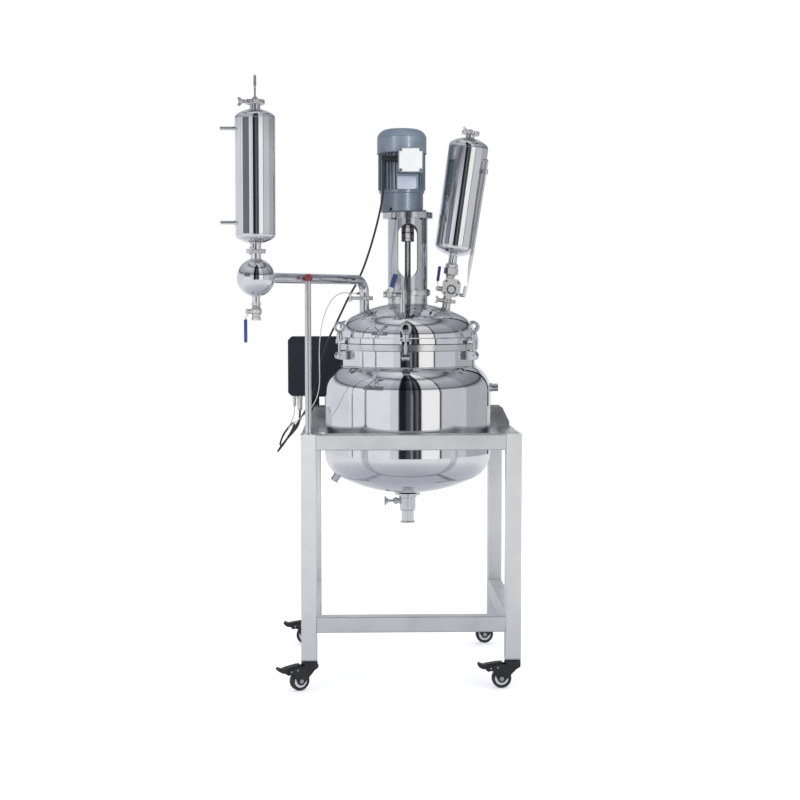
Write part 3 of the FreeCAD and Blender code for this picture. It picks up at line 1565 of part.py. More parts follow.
def make_motor():
    """Motor frame with its cooling fins and the bare plate on its front."""
    low = S["gearbox_top"]
    top = S["motor_top"]
    core = S["motor_core"]
    bore = core - S["motor_wall"]
    body = DOC.addObject("PartDesign::Body", "motor_body")
    loop = [(bore, low), (core, low), (core, top), (bore, top)]
    sketch = draw(body, "motor_body_profile", "XZ_Plane", [loop])
    feature = body.newObject("PartDesign::Revolution", "motor_body_turn")
    feature.Profile = (sketch, [""])
    feature.ReferenceAxis = (sketch, ["V_Axis"])
    feature.Angle = 360
    half = S["motor_fin_thick"] / 2
    tip = core + S["motor_fin"]
    fin = [(core - 2, -half), (tip, -half), (tip, half), (core - 2, half)]
    outline = draw(body, "motor_fin_outline", "XY_Plane", [fin])
    bind(outline, "AttachmentOffset.Base.z", low)
    pad = body.newObject("PartDesign::Pad", "motor_fin_pad")
    pad.Profile = outline
    bind(pad, "Length", top - low)
    pattern = body.newObject("PartDesign::PolarPattern", "motor_fins")
    pattern.Originals = [pad]
    pattern.Axis = (outline, ["N_Axis"])
    pattern.Angle = 360
    bind(pattern, "Occurrences", S["motor_fin_count"])
    body.Tip = pattern
    side = S["terminal_side"]
    pocket = block("motor_flat", side + 1, 60, side + 1)
    place(
        pocket,
        S["terminal_x"] - side / 2 - 0.5,
        -(S["terminal_back"] + 60),
        S["terminal_low"] - 0.5,
    )
    pad_front = block("motor_pad", S["plate_width"] + 6, 16, S["plate_height"] + 3)
    place(
        pad_front,
        S["terminal_x"] - 12 - S["plate_width"] / 2,
        -(tip + 1),
        low,
    )
    cap = place(cylinder("motor_cap", core, 5), 0, 0, top - 5)
    hole = cylinder("motor_shaft_hole", S["rotor_radius"] + S["running_gap"], 30)
    place(hole, 0, 0, top - 15)
    inner = place(cylinder("motor_hollow", bore, top - low), 0, 0, low - 5)
    whole = fuse("motor_whole", [body, pad_front, cap])
    motor = cut("motor_housing", whole, [pocket, hole, inner])
    keep("motor_housing", on_axis(motor, S["motor_x"], 0, 0))


def make_terminal_box():
    """Terminal box on the motor's front, with its screwed lid."""
    side = S["terminal_side"]
    front = S["terminal_front"]
    back = S["terminal_back"]
    lid = S["terminal_lid"]
    half = side / 2
    base = extruded("terminal_base", front - lid - back, rounded_square(half - 2, as_size(6)))
    place(base, 0, -back, half, X_AXIS, 90)
    cover = extruded("terminal_cover", lid, rounded_square(half, as_size(6)))
    place(cover, 0, lid - front, half, X_AXIS, 90)
    screws = []
    for way_x, way_z in CORNERS:
        screw = cylinder(f"terminal_screw_{way_x + 1}{way_z + 1}", 3.5, 2)
        reach = half - 8
        place(screw, way_x * reach, -front, half + way_z * reach, X_AXIS, 90)
        screws.append(screw)
    core = place(cylinder("terminal_core", S["motor_core"], 200), -S["terminal_x"], 0, -50)
    skirt = cylinder("terminal_skirt", S["cowl_radius"] + 0.4, 60)
    place(skirt, -S["terminal_x"], 0, S["motor_top"] - 6.4 - S["terminal_low"])
    whole = fuse("terminal_whole", [base, cover, *screws])
    box = cut("terminal_box", whole, [core, skirt])
    keep("terminal_box", on_axis(box, S["motor_x"] + S["terminal_x"], 0, S["terminal_low"]))


def make_cowl():
    """Fan cowl: domed steel cover with a ring of air slots in its top."""
    radius = S["cowl_radius"]
    wall = S["cowl_wall"]
    low = S["motor_top"] - 6
    skirt = S["cowl_skirt"]
    top = S["cowl_top"]
    corner = S["cowl_corner"]
    rim_out = radius - corner
    body = DOC.addObject("PartDesign::Body", "cowl_body")
    knee = root(corner * corner - (top - skirt) * (top - skirt))
    loop = [
        (radius - wall, low),
        (radius, low),
        (radius, skirt),
        (radius - 34, top, 37, 1),
        (0, top),
        (0, top - wall),
        (radius - 34, top - wall),
        (radius - wall, skirt, 35, -1),
    ]
    sketch = draw(body, "cowl_profile", "XZ_Plane", [loop])
    feature = body.newObject("PartDesign::Revolution", "cowl_turn")
    feature.Profile = (sketch, [""])
    feature.ReferenceAxis = (sketch, ["V_Axis"])
    feature.Angle = 360
    slot = [(14, -2.5), (radius - 38, -2.5), (radius - 38, 2.5), (14, 2.5)]
    outline = draw(body, "cowl_slot_outline", "XY_Plane", [slot])
    bind(outline, "AttachmentOffset.Base.z", top + 1)
    pocket = body.newObject("PartDesign::Pocket", "cowl_slot")
    pocket.Profile = outline
    pocket.Length = 12
    pattern = body.newObject("PartDesign::PolarPattern", "cowl_slots")
    pattern.Originals = [pocket]
    pattern.Axis = (outline, ["N_Axis"])
    pattern.Angle = 360
    bind(pattern, "Occurrences", S["cowl_slot_count"])
    body.Tip = pattern
    keep("fan_cowl", on_axis(group("fan_cowl", [body]), S["motor_x"], 0, 0))


def make_fan():
    """Cooling fan on the end of the rotor shaft."""
    low = S["motor_top"] - 8
    rotor = cylinder("fan_rotor", S["rotor_radius"], 50)
    place(rotor, 0, 0, low)
    hub = place(cylinder("fan_hub", S["rotor_radius"] + 9, 26), 0, 0, low + 20)
    disc = place(cylinder("fan_disc", S["fan_radius"] - 16, 3), 0, 0, low + 20)
    blades = []
    for index in range(int(number(S["fan_blades"]))):
        angle = index * 360 / S["fan_blades"]
        blade = block(f"fan_blade_{index}", S["fan_radius"] - 12, 2.5, 26)
        place(blade, 12, -1.25, low + 20)
        turn = group(f"fan_blade_{index}_turned", [blade])
        blades.append(place(turn, 0, 0, 0, Z_AXIS, angle))
    fan = fuse("cooling_fan", [rotor, hub, disc, *blades])
    keep("cooling_fan", on_axis(fan, S["motor_x"], 0, 0))


# Vapour line and condenser

def pipe_heading():
    """Heading of the level run from the vapour port to the ball."""
    return bearing(S["ball_y"] - S["vapour_y"], S["ball_x"] - S["vapour_x"])


def pipe_span():
    """Level distance from the vapour port to the ball."""
    run = S["ball_x"] - S["vapour_x"]
    rise = S["ball_y"] - S["vapour_y"]
    return root(run * run + rise * rise)


def make_vapour_pipe():
    """Vapour pipe: ferrule, elbow and the level run to the ball."""
    radius = S["pipe_radius"]
    wall = S["pipe_wall"]
    bend = S["elbow_radius"]
    joint = S["vapour_joint"]
    level = S["vapour_z"]
    rise = level - bend - joint
    riser = stub("vapour_riser", radius, rise, 1)
    place(riser, 0, 0, joint)
    elbow_out = quarter_bend("vapour_elbow", bend, radius, level)
    elbow_in = quarter_bend("vapour_elbow_bore", bend, radius - wall, level)
    elbow = cut("vapour_elbow_tube", elbow_out, [elbow_in])
    length = pipe_span() - bend - S["ball_radius"] + 3
    run = turned(
        "vapour_run",
        [(radius - wall, 0), (radius, 0), (radius, length), (radius - wall, length)],
    )
    place(run, bend, 0, level, Y_AXIS, 90)
    end = place(sphere("vapour_run_end", S["ball_radius"]), pipe_span(), 0, S["vapour_z"])
    shaped = cut("vapour_run_shaped", run, [end])
    turn = math.radians(180 - number(pipe_heading()))
    out_x, out_y = math.cos(turn), math.sin(turn)
    near, far, height = number(radius) - 1, number(radius) + 10, number(joint) + 16
    probe_boss = rod(
        "vapour_probe_boss",
        5,
        (near * out_x, near * out_y, height),
        (far * out_x, far * out_y, height),
    )
    pipe = fuse("vapour_pipe", [riser, elbow, shaped, probe_boss])
    on_axis(pipe, S["vapour_x"], S["vapour_y"], 0, Z_AXIS, pipe_heading())
    keep("vapour_pipe", pipe)


def quarter_bend(name, bend, radius, level):
    """Quarter of a torus from straight up at x = 0 to level along +X."""
    obj = DOC.addObject("Part::Torus", name)
    bind(obj, "Radius1", bend)
    bind(obj, "Radius2", radius)
    obj.Angle3 = 90
    turn = Rotation(X_AXIS, 90) * Rotation(Z_AXIS, 90)
    obj.Placement = Placement(Vector(number(bend), 0, number(level - bend)), turn)
    bind(obj, "Placement.Base.x", bend)
    bind(obj, "Placement.Base.z", level - bend)
    return obj


def make_vapour_ball():
    """Hollow ball under the condenser, with its three openings."""
    radius = S["ball_radius"]
    wall = S["ball_wall"]
    pipe = S["pipe_radius"]
    high = S["condenser_joint"] - S["vapour_z"]
    neck = stub("ball_neck", pipe, high - radius + 4, -1)
    place(neck, 0, 0, high)
    foot_radius = S["valve_end"] - 2
    foot_top = -(radius - 4)
    foot_low = S["ball_drain"] + S["valve_half"] - S["vapour_z"]
    foot = cylinder("ball_foot", foot_radius, foot_top - foot_low)
    place(foot, 0, 0, foot_low)
    outer = sphere("ball_outer", radius)
    inner = sphere("ball_inner", radius - wall)
    way = cylinder("ball_way", foot_radius - wall, 2 * radius)
    place(way, 0, 0, -2 * radius)
    upper_way = cylinder("ball_upper_way", pipe - S["pipe_wall"], radius + 4)
    mouth = cylinder("ball_mouth", pipe - S["pipe_wall"], 2 * radius)
    place(mouth, 0, 0, 0, Y_AXIS, -90)
    turned_mouth = place(group("ball_mouth_turned", [mouth]), 0, 0, 0, Z_AXIS, pipe_heading())
    whole = fuse("ball_whole", [outer, neck, foot])
    ball = cut("vapour_ball", whole, [inner, way, upper_way, turned_mouth])
    keep("vapour_ball", on_axis(ball, S["ball_x"], S["ball_y"], S["vapour_z"]))


def make_condenser():
    """Condenser shell with dished ends, ferrule necks and two water barbs."""
    radius = S["condenser_radius"]
    wall = S["condenser_wall"]
    crown = S["condenser_crown"]
    knuckle = S["condenser_knuckle"]
    rise = head_height(radius, crown, knuckle)
    low = S["condenser_low"] + rise
    high = S["condenser_high"] - rise
    head = (crown, knuckle)
    inner_head = (crown - wall, knuckle - wall)
    outer = shell_solid("condenser_outer", radius, low, high, head, head)
    inner = shell_solid("condenser_inner", radius - wall, low, high, inner_head, inner_head)
    pipe = S["pipe_radius"]
    bore = pipe - S["pipe_wall"]
    bottom = stub("condenser_bottom", pipe, S["condenser_low"] + 2 - S["condenser_joint"], 1)
    place(bottom, 0, 0, S["condenser_joint"])
    top_length = S["condenser_cap"] + 2 - S["condenser_high"]
    top = place(stub("condenser_top", pipe, top_length, -1), 0, 0, S["condenser_cap"])
    barbs = []
    ways = []
    for tag, z in (("low", S["barb_low"]), ("high", S["barb_high"])):
        length = S["barb_out"] + 6
        foot = S["barb_radius"] + S["collar"]
        barb = turned(
            f"barb_{tag}",
            [
                (0, 0),
                (foot, 0),
                (foot, 6 + S["collar_out"]),
                (S["barb_radius"], 6 + S["collar_out"]),
                (S["barb_radius"], length),
                (0, length),
            ],
        )
        barbs.append(place(barb, 6 - radius, 0, z, Y_AXIS, -90))
        way = cylinder(f"barb_{tag}_way", S["barb_bore"], length + 20)
        ways.append(place(way, 16 - radius, 0, z, Y_AXIS, -90))
    through = cylinder("condenser_way", bore, S["condenser_cap"] - S["condenser_joint"] + 20)
    place(through, 0, 0, S["condenser_joint"] - 10)
    whole = fuse("condenser_whole", [outer, bottom, top, *barbs])
    shell = cut("condenser_shell", whole, [inner, through, *ways])
    keep("condenser_shell", on_axis(shell, S["ball_x"], S["ball_y"], 0))


def make_thermometer():
    """Ferrule cap and thermometer that reaches down into the condenser."""
    cap = S["condenser_cap"]
    top = cap + S["probe_rise"]
    radius = S["probe_radius"]
    rim = S["ferrule_radius"]
    half = S["ferrule_half"]
    body = turned(
        "thermometer_turned",
        [
            (0, cap - S["probe_depth"]),
            (radius, cap - S["probe_depth"] + 4),
            (radius, cap + 0.15),
            (rim, cap + 0.15),
            (rim, cap + half),
            (rim - 6, cap + half + 2),
            (radius + 5, cap + half + 2),
            (radius + 5, cap + half + 12),
            (radius, cap + half + 14),
            (radius, top - S["probe_tip"]),
            (radius + 1.5, top - S["probe_tip"] + 3),
            (radius + 1, top - 5),
            (0, top),
        ],
    )
    spot = on_axis(group("thermometer", [body]), S["ball_x"], S["ball_y"], 0)
    keep("thermometer", spot)


def make_post():
    """Pipe support post on the frame's corner, with the clip at its top."""
    radius = S["post_radius"]
    foot = S["frame_top"]
    top = S["vapour_z"] + 4
    tube = turned(
        "post_tube",
        [
            (0, foot),
            (radius + 6, foot),
            (radius + 6, foot + 4),
            (radius, foot + 6),
            (radius, top),
            (0, top),
            (0, top - 3),
            (radius - S["post_wall"], top - 3),
            (radius - S["post_wall"], foot + 4),
            (0, foot + 4),
        ],
    )
    place(tube, S["post_x"], S["post_y"], 0)
    clip_block = block("post_clip_block", 2 * radius + 8, 2 * radius + 22, 14)
    place(clip_block, S["post_x"] - radius - 4, S["post_y"] - radius - 3, top - 12)
    grip = place(cylinder("post_clip_post", radius + 0.2, 60), S["post_x"], S["post_y"], top - 40)
    lane = cylinder("post_clip_lane", S["pipe_radius"] + 0.2, pipe_span())
    place(lane, 0, 0, 0, Y_AXIS, 90)
    turned_lane = group("post_clip_lane_turned", [lane])
    place(turned_lane, S["vapour_x"], S["vapour_y"], S["vapour_z"], Z_AXIS, pipe_heading())
    clip = cut("post_clip", clip_block, [grip, turned_lane])
    keep("support_post", on_axis(group("support_post", [tube, clip])))


# Ferrule clamps and small valves

def ferrule_clamp(name, turn, reach):
    """Two-piece clamp round a ferrule pair at the origin, with its wing screw.

    turn is where the wing screw stands, and reach is how far its wing stands out.
    """
    rim = S["ferrule_radius"] + 0.3
    half = S["ferrule_half"] + 0.3
    lip = rim - 4
    side = half + 1.6
    band_out = rim + 4
    band = turned(
        f"{name}_band",
        [
            (lip, -side - 2),
            (band_out - 1, -side - 2),
            (band_out, -side),
            (band_out, side),
            (band_out - 1, side + 2),
            (lip, side + 2),
            (lip, side),
            (rim, half),
            (rim, -half),
            (lip, -side),
        ],
    )
    gap = block(f"{name}_gap", 3 * band_out, 3, 40)
    place(gap, -1.5 * band_out, -1.5, -20)
    halves = cut(f"{name}_halves", band, [gap])
    hinge = cylinder(f"{name}_hinge", 5, 2 * side + 2)
    place(hinge, -(band_out + 4.6), 0, -side - 1)
    screw = cylinder(f"{name}_screw", 3, reach + 14)
    place(screw, band_out + 5, 14, 0, X_AXIS, 90)
    head = cylinder(f"{name}_head", 5.5, 6)
    place(head, band_out + 5, 14, 0, X_AXIS, 90)
    ears = []
    for way in (-1, 1):
        ear = block(f"{name}_ear_{way + 1}", 13, 5, 2 * side)
        place(ear, band_out - 3, way * 4.5 - 2.5, -side)
        ears.append(ear)
    nut = cylinder(f"{name}_nut", 6, 14)
    place(nut, band_out + 5, 14 - reach, 0, X_AXIS, 90)
    wing = plate(
        f"{name}_wing",
        "YZ_Plane",
        4,
        [
            (10 - reach, -3),
            (10 - reach, 3),
            (-2 - reach, 13),
            (-9 - reach, 12),
            (-4 - reach, 0),
            (-9 - reach, -12),
            (-2 - reach, -13),
        ],
    )
    place(wing, band_out + 5, 0, 0)
    tool = fuse(f"{name}_screw_whole", [screw, head, nut, wing])
    ears_whole = fuse(f"{name}_ears_whole", ears)
    ears_cut = cut(f"{name}_ears", ears_whole, [
        place(cylinder(f"{name}_ear_hole", 3.05, 60), band_out + 5, 30, 0, X_AXIS, 90),
        cylinder_through(f"{name}_ear_core", band_out - 0.5),
    ])
    arms = fuse(f"{name}_arms", [halves, ears_cut])
    hinge_cut = cut(f"{name}_hinge_cut", hinge, [cylinder_through(f"{name}_hinge_core", band_out)])
    whole = group(name, [arms, tool, hinge_cut])
    place(whole, 0, 0, 0, Z_AXIS, turn)
    return whole


def cylinder_through(name, radius):
    """A tall cylinder about the origin."""
    return place(cylinder(name, radius, 100), 0, 0, -50)


def make_ferrule_clamps():
    """The five ferrule clamps of the vapour, condenser and dosing lines."""
    clamps = []
    vapour = fuse_free("clamp_vapour", ferrule_clamp("clamp_vapour_set", -80, 52))
    clamps.append(place(vapour, S["vapour_x"], S["vapour_y"], S["vapour_joint"]))
    lower = fuse_free("clamp_condenser", ferrule_clamp("clamp_condenser_set", -60, 30))
    clamps.append(place(lower, S["ball_x"], S["ball_y"], S["condenser_joint"]))
    upper = fuse_free("clamp_condenser_top", ferrule_clamp("clamp_condenser_top_set", -120, 30))
    clamps.append(place(upper, S["ball_x"], S["ball_y"], S["condenser_cap"]))
    dosing = fuse_free("clamp_dosing", ferrule_clamp("clamp_dosing_set", -90, 34))
    clamps.append(on_dosing(dosing, S["dosing_joint"], about_axis=False))
    cap = fuse_free("clamp_dosing_top", ferrule_clamp("clamp_dosing_top_set", -75, 32))
    clamps.append(on_dosing(cap, S["dosing_cap"], about_axis=False))
    keep("ferrule_clamps", on_axis(group("ferrule_clamps", clamps)))


def fuse_free(name, obj):
    """Wrap a turned group so that it can be moved as well."""
    return group(name, [obj])


def on_dosing(obj, along, out=0, about_axis=True):
    """Place a piece at a distance along the leaning dosing line."""
    tilt = S["dosing_tilt"]
    x = S["dosing_x"] + along * sine(tilt) + out * cosine(tilt)
    z = S["dosing_base"] + along * cosine(tilt) - out * sine(tilt)
    if about_axis:
        return on_axis(obj, x, 0, z, Y_AXIS, tilt)
    return place(obj, x, 0, z, Y_AXIS, tilt)


DOSING_SHIFT = 8


def small_valve(name, half, body, end):
    """Ball valve along Z with its stem boss towards -X."""
    barrel = turned(
        f"{name}_barrel",
        [
            (0, -half),
            (end, -half),
            (end, 9 - half),
            (end - 2.5, 11 - half),
            (body - 3, -9),
            (body, -5),
            (body, 5),
            (body - 3, 9),
            (end - 2.5, half - 11),
            (end, half - 9),
            (end, half),
            (0, half),
        ],
    )
    boss = cylinder(f"{name}_boss", S["lever_stem"] + 4, S["valve_boss"])
    place(boss, 0, 0, 0, Y_AXIS, -90)
    seat = cylinder(f"{name}_seat", S["lever_stem"] + S["running_gap"], S["valve_boss"])
    place(seat, -4, 0, 0, Y_AXIS, -90)
    mouth = cylinder(f"{name}_mouth", end - 5, 12)
    place(mouth, 0, 0, -half)
    return cut(name, fuse(f"{name}_whole", [barrel, boss]), [seat, mouth])


def make_small_valves():
    """Bodies of the three small ball valves."""
    ball = small_valve("valve_ball", S["valve_half"], S["valve_radius"], S["valve_end"])
    place(ball, S["ball_x"], S["ball_y"], S["ball_drain"])
    vent = small_valve("valve_vent", as_size(20), as_size(13), S["vent_radius"] + 1.5)
    place(vent, 0, 0, 0, Y_AXIS, 90)
    flat_vent = fuse_free("valve_vent_turned", vent)
    place(flat_vent, S["vent_x"] - S["vent_reach"], S["vent_y"], S["vent_z"], X_AXIS, 90)
    half = S["dosing_body"]
    slope = 11
    core = plate(
        "valve_dosing_core",
        "XZ_Plane",
        48,
        [
            (half, slope - half),
            (half, half - slope),
            (half - slope, half),
            (slope - half, half),
            (-half, half - slope),
            (-half, slope - half),
            (slope - half, -half),
            (half - slope, -half),
        ],
    )
    place(core, DOSING_SHIFT, 0, 0)
    plug = crosspin("valve_dosing_plug", 9, 54, DOSING_SHIFT, -6)
    low = S["dosing_joint"] - S["dosing_valve"]
    lower = stub("valve_dosing_stub", S["dosing_pipe"], 2 - low - half, 1)
    place(lower, 0, 0, low)
    union = turned(
        "valve_dosing_union",
        [
            (0, half - 2),
            (14, half - 2),
            (16, half + 8),
            (20, half + 14),
            (20, half + 36),
            (22, half + 38),
            (22, half + 46),
            (14, half + 54),
            (0, half + 54),
        ],
    )
    hexes = hexagon("valve_dosing_nut", 48, 20)
    place(hexes, 0, 0, half + 15)
    stem_x = DOSING_SHIFT - half
    boss = cylinder("valve_dosing_boss", S["lever_stem"] + 5, 14)
    place(boss, stem_x + 1, 0, -8, Y_AXIS, -90)
    seat = cylinder("valve_dosing_seat", S["lever_stem"] + S["running_gap"], 40)
    place(seat, -4, 0, -8, Y_AXIS, -90)
    dosing = cut(
        "valve_dosing",
        fuse("valve_dosing_whole", [core, plug, lower, union, hexes, boss]),
        [seat],
    )
    on_dosing(dosing, S["dosing_valve"], about_axis=False)
    keep("valve_bodies", on_axis(group("valve_bodies", [ball, flat_vent, dosing])))


def lever(name, boss, reach, bow):
    """Valve lever about the X axis: stem, bent flat arm and sleeve grip.

    The stem points to -X, the arm hangs down, boss is where the valve's boss
    ends, reach is the lever's length and bow is how far the arm bends out.
    """
    stem_length = boss + 8
    stem = cylinder(f"{name}_stem", S["lever_stem"], stem_length - 5)
    place(stem, -5, 0, 0, Y_AXIS, -90)
    near = -(boss + 0.6)
    arm = plate(
        f"{name}_arm",
        "XZ_Plane",
        12,
        [
            (near, 9),
            (near - 3, 9),
            (near - 3, -10),
            (near - 3 - bow, -22),
            (near - 3 - bow, -34),
            (near - bow, -34),
            (near - bow, -21),
            (near, -9),
        ],
    )
    nut = hexagon(f"{name}_nut", 13, 5)
    place(nut, near - 2, 0, 0, Y_AXIS, -90)
    sleeve = extruded(f"{name}_sleeve", reach - 26, rounded_oblong(4.6, 8, 4))
    place(sleeve, near - 1.5 - bow, 0, -reach)
    return fuse(name, [stem, arm, nut, sleeve])


def rounded_oblong(half_x, half_y, corner):
    """Loop of an oblong with rounded corners about the origin."""
    flat_x = half_x - corner
    flat_y = half_y - corner
    return [
        (flat_x, -half_y),
        (half_x, -flat_y, corner, 1),
        (half_x, flat_y),
        (flat_x, half_y, corner, 1),
        (-flat_x, half_y),
        (-half_x, flat_y, corner, 1),
        (-half_x, -flat_y),
        (-flat_x, -half_y, corner, 1),
    ]


def make_levers():
    """Levers of the three small ball valves."""
    ball = lever("ball_drain_lever", number(S["valve_boss"]), 92, 6)
    keep("ball_drain_lever", on_axis(ball, S["ball_x"], S["ball_y"], S["ball_drain"]))
    boss = number(S["dosing_body"]) + 13 - DOSING_SHIFT
    dosing = lever("dosing_lever_drawn", boss, 72, 3)
    place(dosing, 0, 0, 0, X_AXIS, 180)
    held = on_dosing(group("dosing_lever", [dosing]), S["dosing_valve"] - 8)
    keep("dosing_lever", held)
    vent = lever("vent_lever_drawn", number(S["valve_boss"]), 66, 3)
    place(vent, 0, 0, 0, Z_AXIS, 90)
    raised = group("vent_lever", [vent])
    x = S["vent_x"] - S["vent_reach"]
    on_axis(raised, x, S["vent_y"], S["vent_z"], Y_AXIS, 197)
    keep("vent_lever", raised)


# Dosing tank

def make_dosing_tank():
    """Dosing tank with its cap, on the leaning line over the lid."""
    radius = S["dosing_radius"]
    wall = S["dosing_wall"]
    crown = S["dosing_crown"]
    knuckle = S["dosing_knuckle"]
    rise = head_height(radius, crown, knuckle)
    low = S["dosing_low"] + rise
    high = S["dosing_high"] - rise
    head = (crown, knuckle)
    inner_head = (crown - wall, knuckle - wall)
    outer = shell_solid("dosing_outer", radius, low, high, head, head)
    inner = shell_solid("dosing_inner", radius - wall, low, high, inner_head, inner_head)
    pipe = S["dosing_pipe"]
    union_top = S["dosing_valve"] + S["dosing_body"] + 54
    spout = cylinder("dosing_spout", pipe, S["dosing_low"] + 3 - union_top)
    place(spout, 0, 0, union_top)
    way = cylinder("dosing_way", pipe - S["pipe_wall"], S["dosing_low"] + 8 - union_top)
    place(way, 0, 0, union_top)
    neck = stub("dosing_neck", pipe, S["dosing_cap"] - S["dosing_high"] + 3, -1)
    place(neck, 0, 0, S["dosing_cap"])
    top_way = cylinder("dosing_top_way", pipe - S["pipe_wall"], 40)
    place(top_way, 0, 0, S["dosing_high"] - 20)
    whole = fuse("dosing_whole", [outer, spout, neck])
    tank = cut("dosing_tank_shell", whole, [inner, way, top_way])
    cap = turned(
        "dosing_cap",
        [
            (0, 0.15),
            (S["ferrule_radius"], 0.15),
            (S["ferrule_radius"], S["ferrule_half"]),
            (S["ferrule_radius"] - 6, S["ferrule_half"] + 2),
            (6, S["ferrule_half"] + 2),
            (6, 12),
            (0, 12),
        ],
    )
    place(cap, 0, 0, S["dosing_cap"])
    pair = group("dosing_tank", [tank, cap])
    keep("dosing_tank", on_dosing(pair, 0))


def rod(name, radius, start, end):
    """A cylinder between two points."""
    first = Vector(*start)
    along = Vector(*end).sub(first)
    obj = cylinder(name, radius, along.Length)
    obj.Placement = Placement(first, Rotation(Z_AXIS, along))
    return obj


def make_balance_tube():
    """Pressure balance tube from the dosing valve's side up to the tank's top."""
    radius = S["balance_radius"]
    high = number(S["balance_high"])
    valve = number(S["dosing_valve"])
    side = number(S["dosing_body"]) + DOSING_SHIFT
    route = [
        (side - 3, -8, valve - 20),
        (side + 15, -20, valve - 20),
        (58, -46, 204),
        (63, -44, high),
        (50, -35, high),
    ]
    pieces = []
    for index, (start, end) in enumerate(zip(route, route[1:])):
        pieces.append(rod(f"balance_run_{index}", radius, start, end))
    for index, point in enumerate(route[1:-1]):
        pieces.append(place(sphere(f"balance_bend_{index}", radius), *point))
    nut = rod("balance_nut", radius + 4, (62.7, -44.1, high - 44), (62.9, -44, high - 28))
    whole = fuse("balance_whole", [*pieces, nut])
    tank = place(cylinder("balance_tank", S["dosing_radius"], 600), 0, 0, 100)
    core = block("balance_core", 2 * S["dosing_body"], 48, 2 * S["dosing_body"])
    place(core, side - 2 * S["dosing_body"], -24, S["dosing_valve"] - S["dosing_body"])
    tube = cut("balance_tube", whole, [tank, core])
    keep("balance_tube", on_dosing(tube, 0))


# Control box and cables

def make_control_box():
    """Control box behind the vessel, with its door on the back."""
    width = S["box_width"]
    height = S["box_high"] - S["box_low"]
    corner = S["box_chamfer"]
    depth = S["box_depth"]
    outline = [
        (corner, 0),
        (width - corner, 0),
        (width, corner),
        (width, height - corner),
        (width - corner, height),
        (corner, height),
        (0, height - corner),
        (0, corner),
    ]
    shell = plate("box_shell", "XZ_Plane", depth - 4, outline)
    place(shell, 0, (depth - 4) / 2, 0)
    inset = 5
    door_outline = [
        (corner + 2, inset),
        (width - corner - 2, inset),
        (width - inset, corner + 2),
        (width - inset, height - corner - 2),
        (width - corner - 2, height - inset),
        (corner + 2, height - inset),
        (inset, height - corner - 2),
        (inset, corner + 2),
    ]
    door = plate("box_door", "XZ_Plane", 4, door_outline)
    place(door, 0, depth - 2, 0)
    hole = cylinder("box_knob_hole", 3.05, 30)
    place(hole, width / 2, depth + 5, height * 0.35, X_AXIS, 90)
    bezel = block("box_window", width * 0.5, 2, height * 0.2)
    place(bezel, width * 0.25, depth, height * 0.62)
    whole = fuse("box_whole", [shell, door, bezel])
    box = cut("control_box", whole, [hole])
    keep("control_box", on_axis(box, S["box_left"], S["box_front"], S["box_low"]))


def make_knob():
    """Speed knob on the box's door."""
    radius = S["knob_radius"]
    knob = turned(
        "knob_turned",
        [
            (0, -12),
            (3, -12),
            (3, 0.6),
            (radius, 0.6),
            (radius, 4),
            (radius - 2, 15),
            (radius - 3.5, 16.5),
            (0, 16.5),
        ],
    )
    notch = block("knob_notch", 1.6, radius, 2)
    place(notch, -0.8, 2, 15.5)
    cutout = cut("knob_cut", knob, [notch])
    place(cutout, 0, 0, 0, X_AXIS, -90)
    height = (S["box_high"] - S["box_low"]) * 0.35
    x = S["box_left"] + S["box_width"] / 2
    y = S["box_front"] + S["box_depth"]
    keep("control_knob", on_axis(group("control_knob", [cutout]), x, y, S["box_low"] + height))


def make_bracket():
    """Bracket that holds the control box over the frame's back left corner."""
    y = S["box_front"] + S["box_depth"]
    low = S["frame_top"]
    arm_height = S["box_low"] - low
    x = -(S["frame_side"] - S["tube"]) / 2
    foot = block("bracket_foot", 44, 44, 5)
    place(foot, x - 22, y - 22, low)
    upright = block("bracket_upright", 40, 6, arm_height)
    place(upright, x - 20, y - 20, low)
    rib = plate(
        "bracket_rib",
        "YZ_Plane",
        5,
        [
            (y - 16, low + 3),
            (y + 20, low + 3),
            (y - 15, S["box_low"] - 10),
            (y - 18, S["box_low"] - 10),
        ],
    )
    place(rib, x, 0, 0)
    shelf = block("bracket_shelf", 110, 70, 4)
    place(shelf, x - 30, y - 78, S["box_low"] - 4)
    keep("box_bracket", on_axis(fuse("box_bracket", [foot, upright, rib, shelf])))


def gland_points():
    """Mouths of the cable glands: terminal box, box power and box sensor."""
    side = S["motor_x"] + S["terminal_x"] - S["terminal_side"] / 2
    row = S["box_front"] + 21
    terminal = (side - 44.5, 24 - S["terminal_front"], S["terminal_low"] + 32)
    power = (S["box_left"] + 40.5, row, S["box_low"] - 53)
    sensor = (S["box_left"] + 21.5, row, S["box_low"] - 39)
    return terminal, power, sensor


def gland(name, thread, cap, length):
    """Cable gland pointing down from z = 0, with its dome nut."""
    hexes = hexagon(f"{name}_hex", 2.3 * cap, 8)
    place(hexes, 0, 0, -8)
    dome = turned(
        f"{name}_dome",
        [(0, -8), (cap, -8), (cap, 6 - length), (thread, -length), (0, -length)],
    )
    return fuse(name, [hexes, dome])


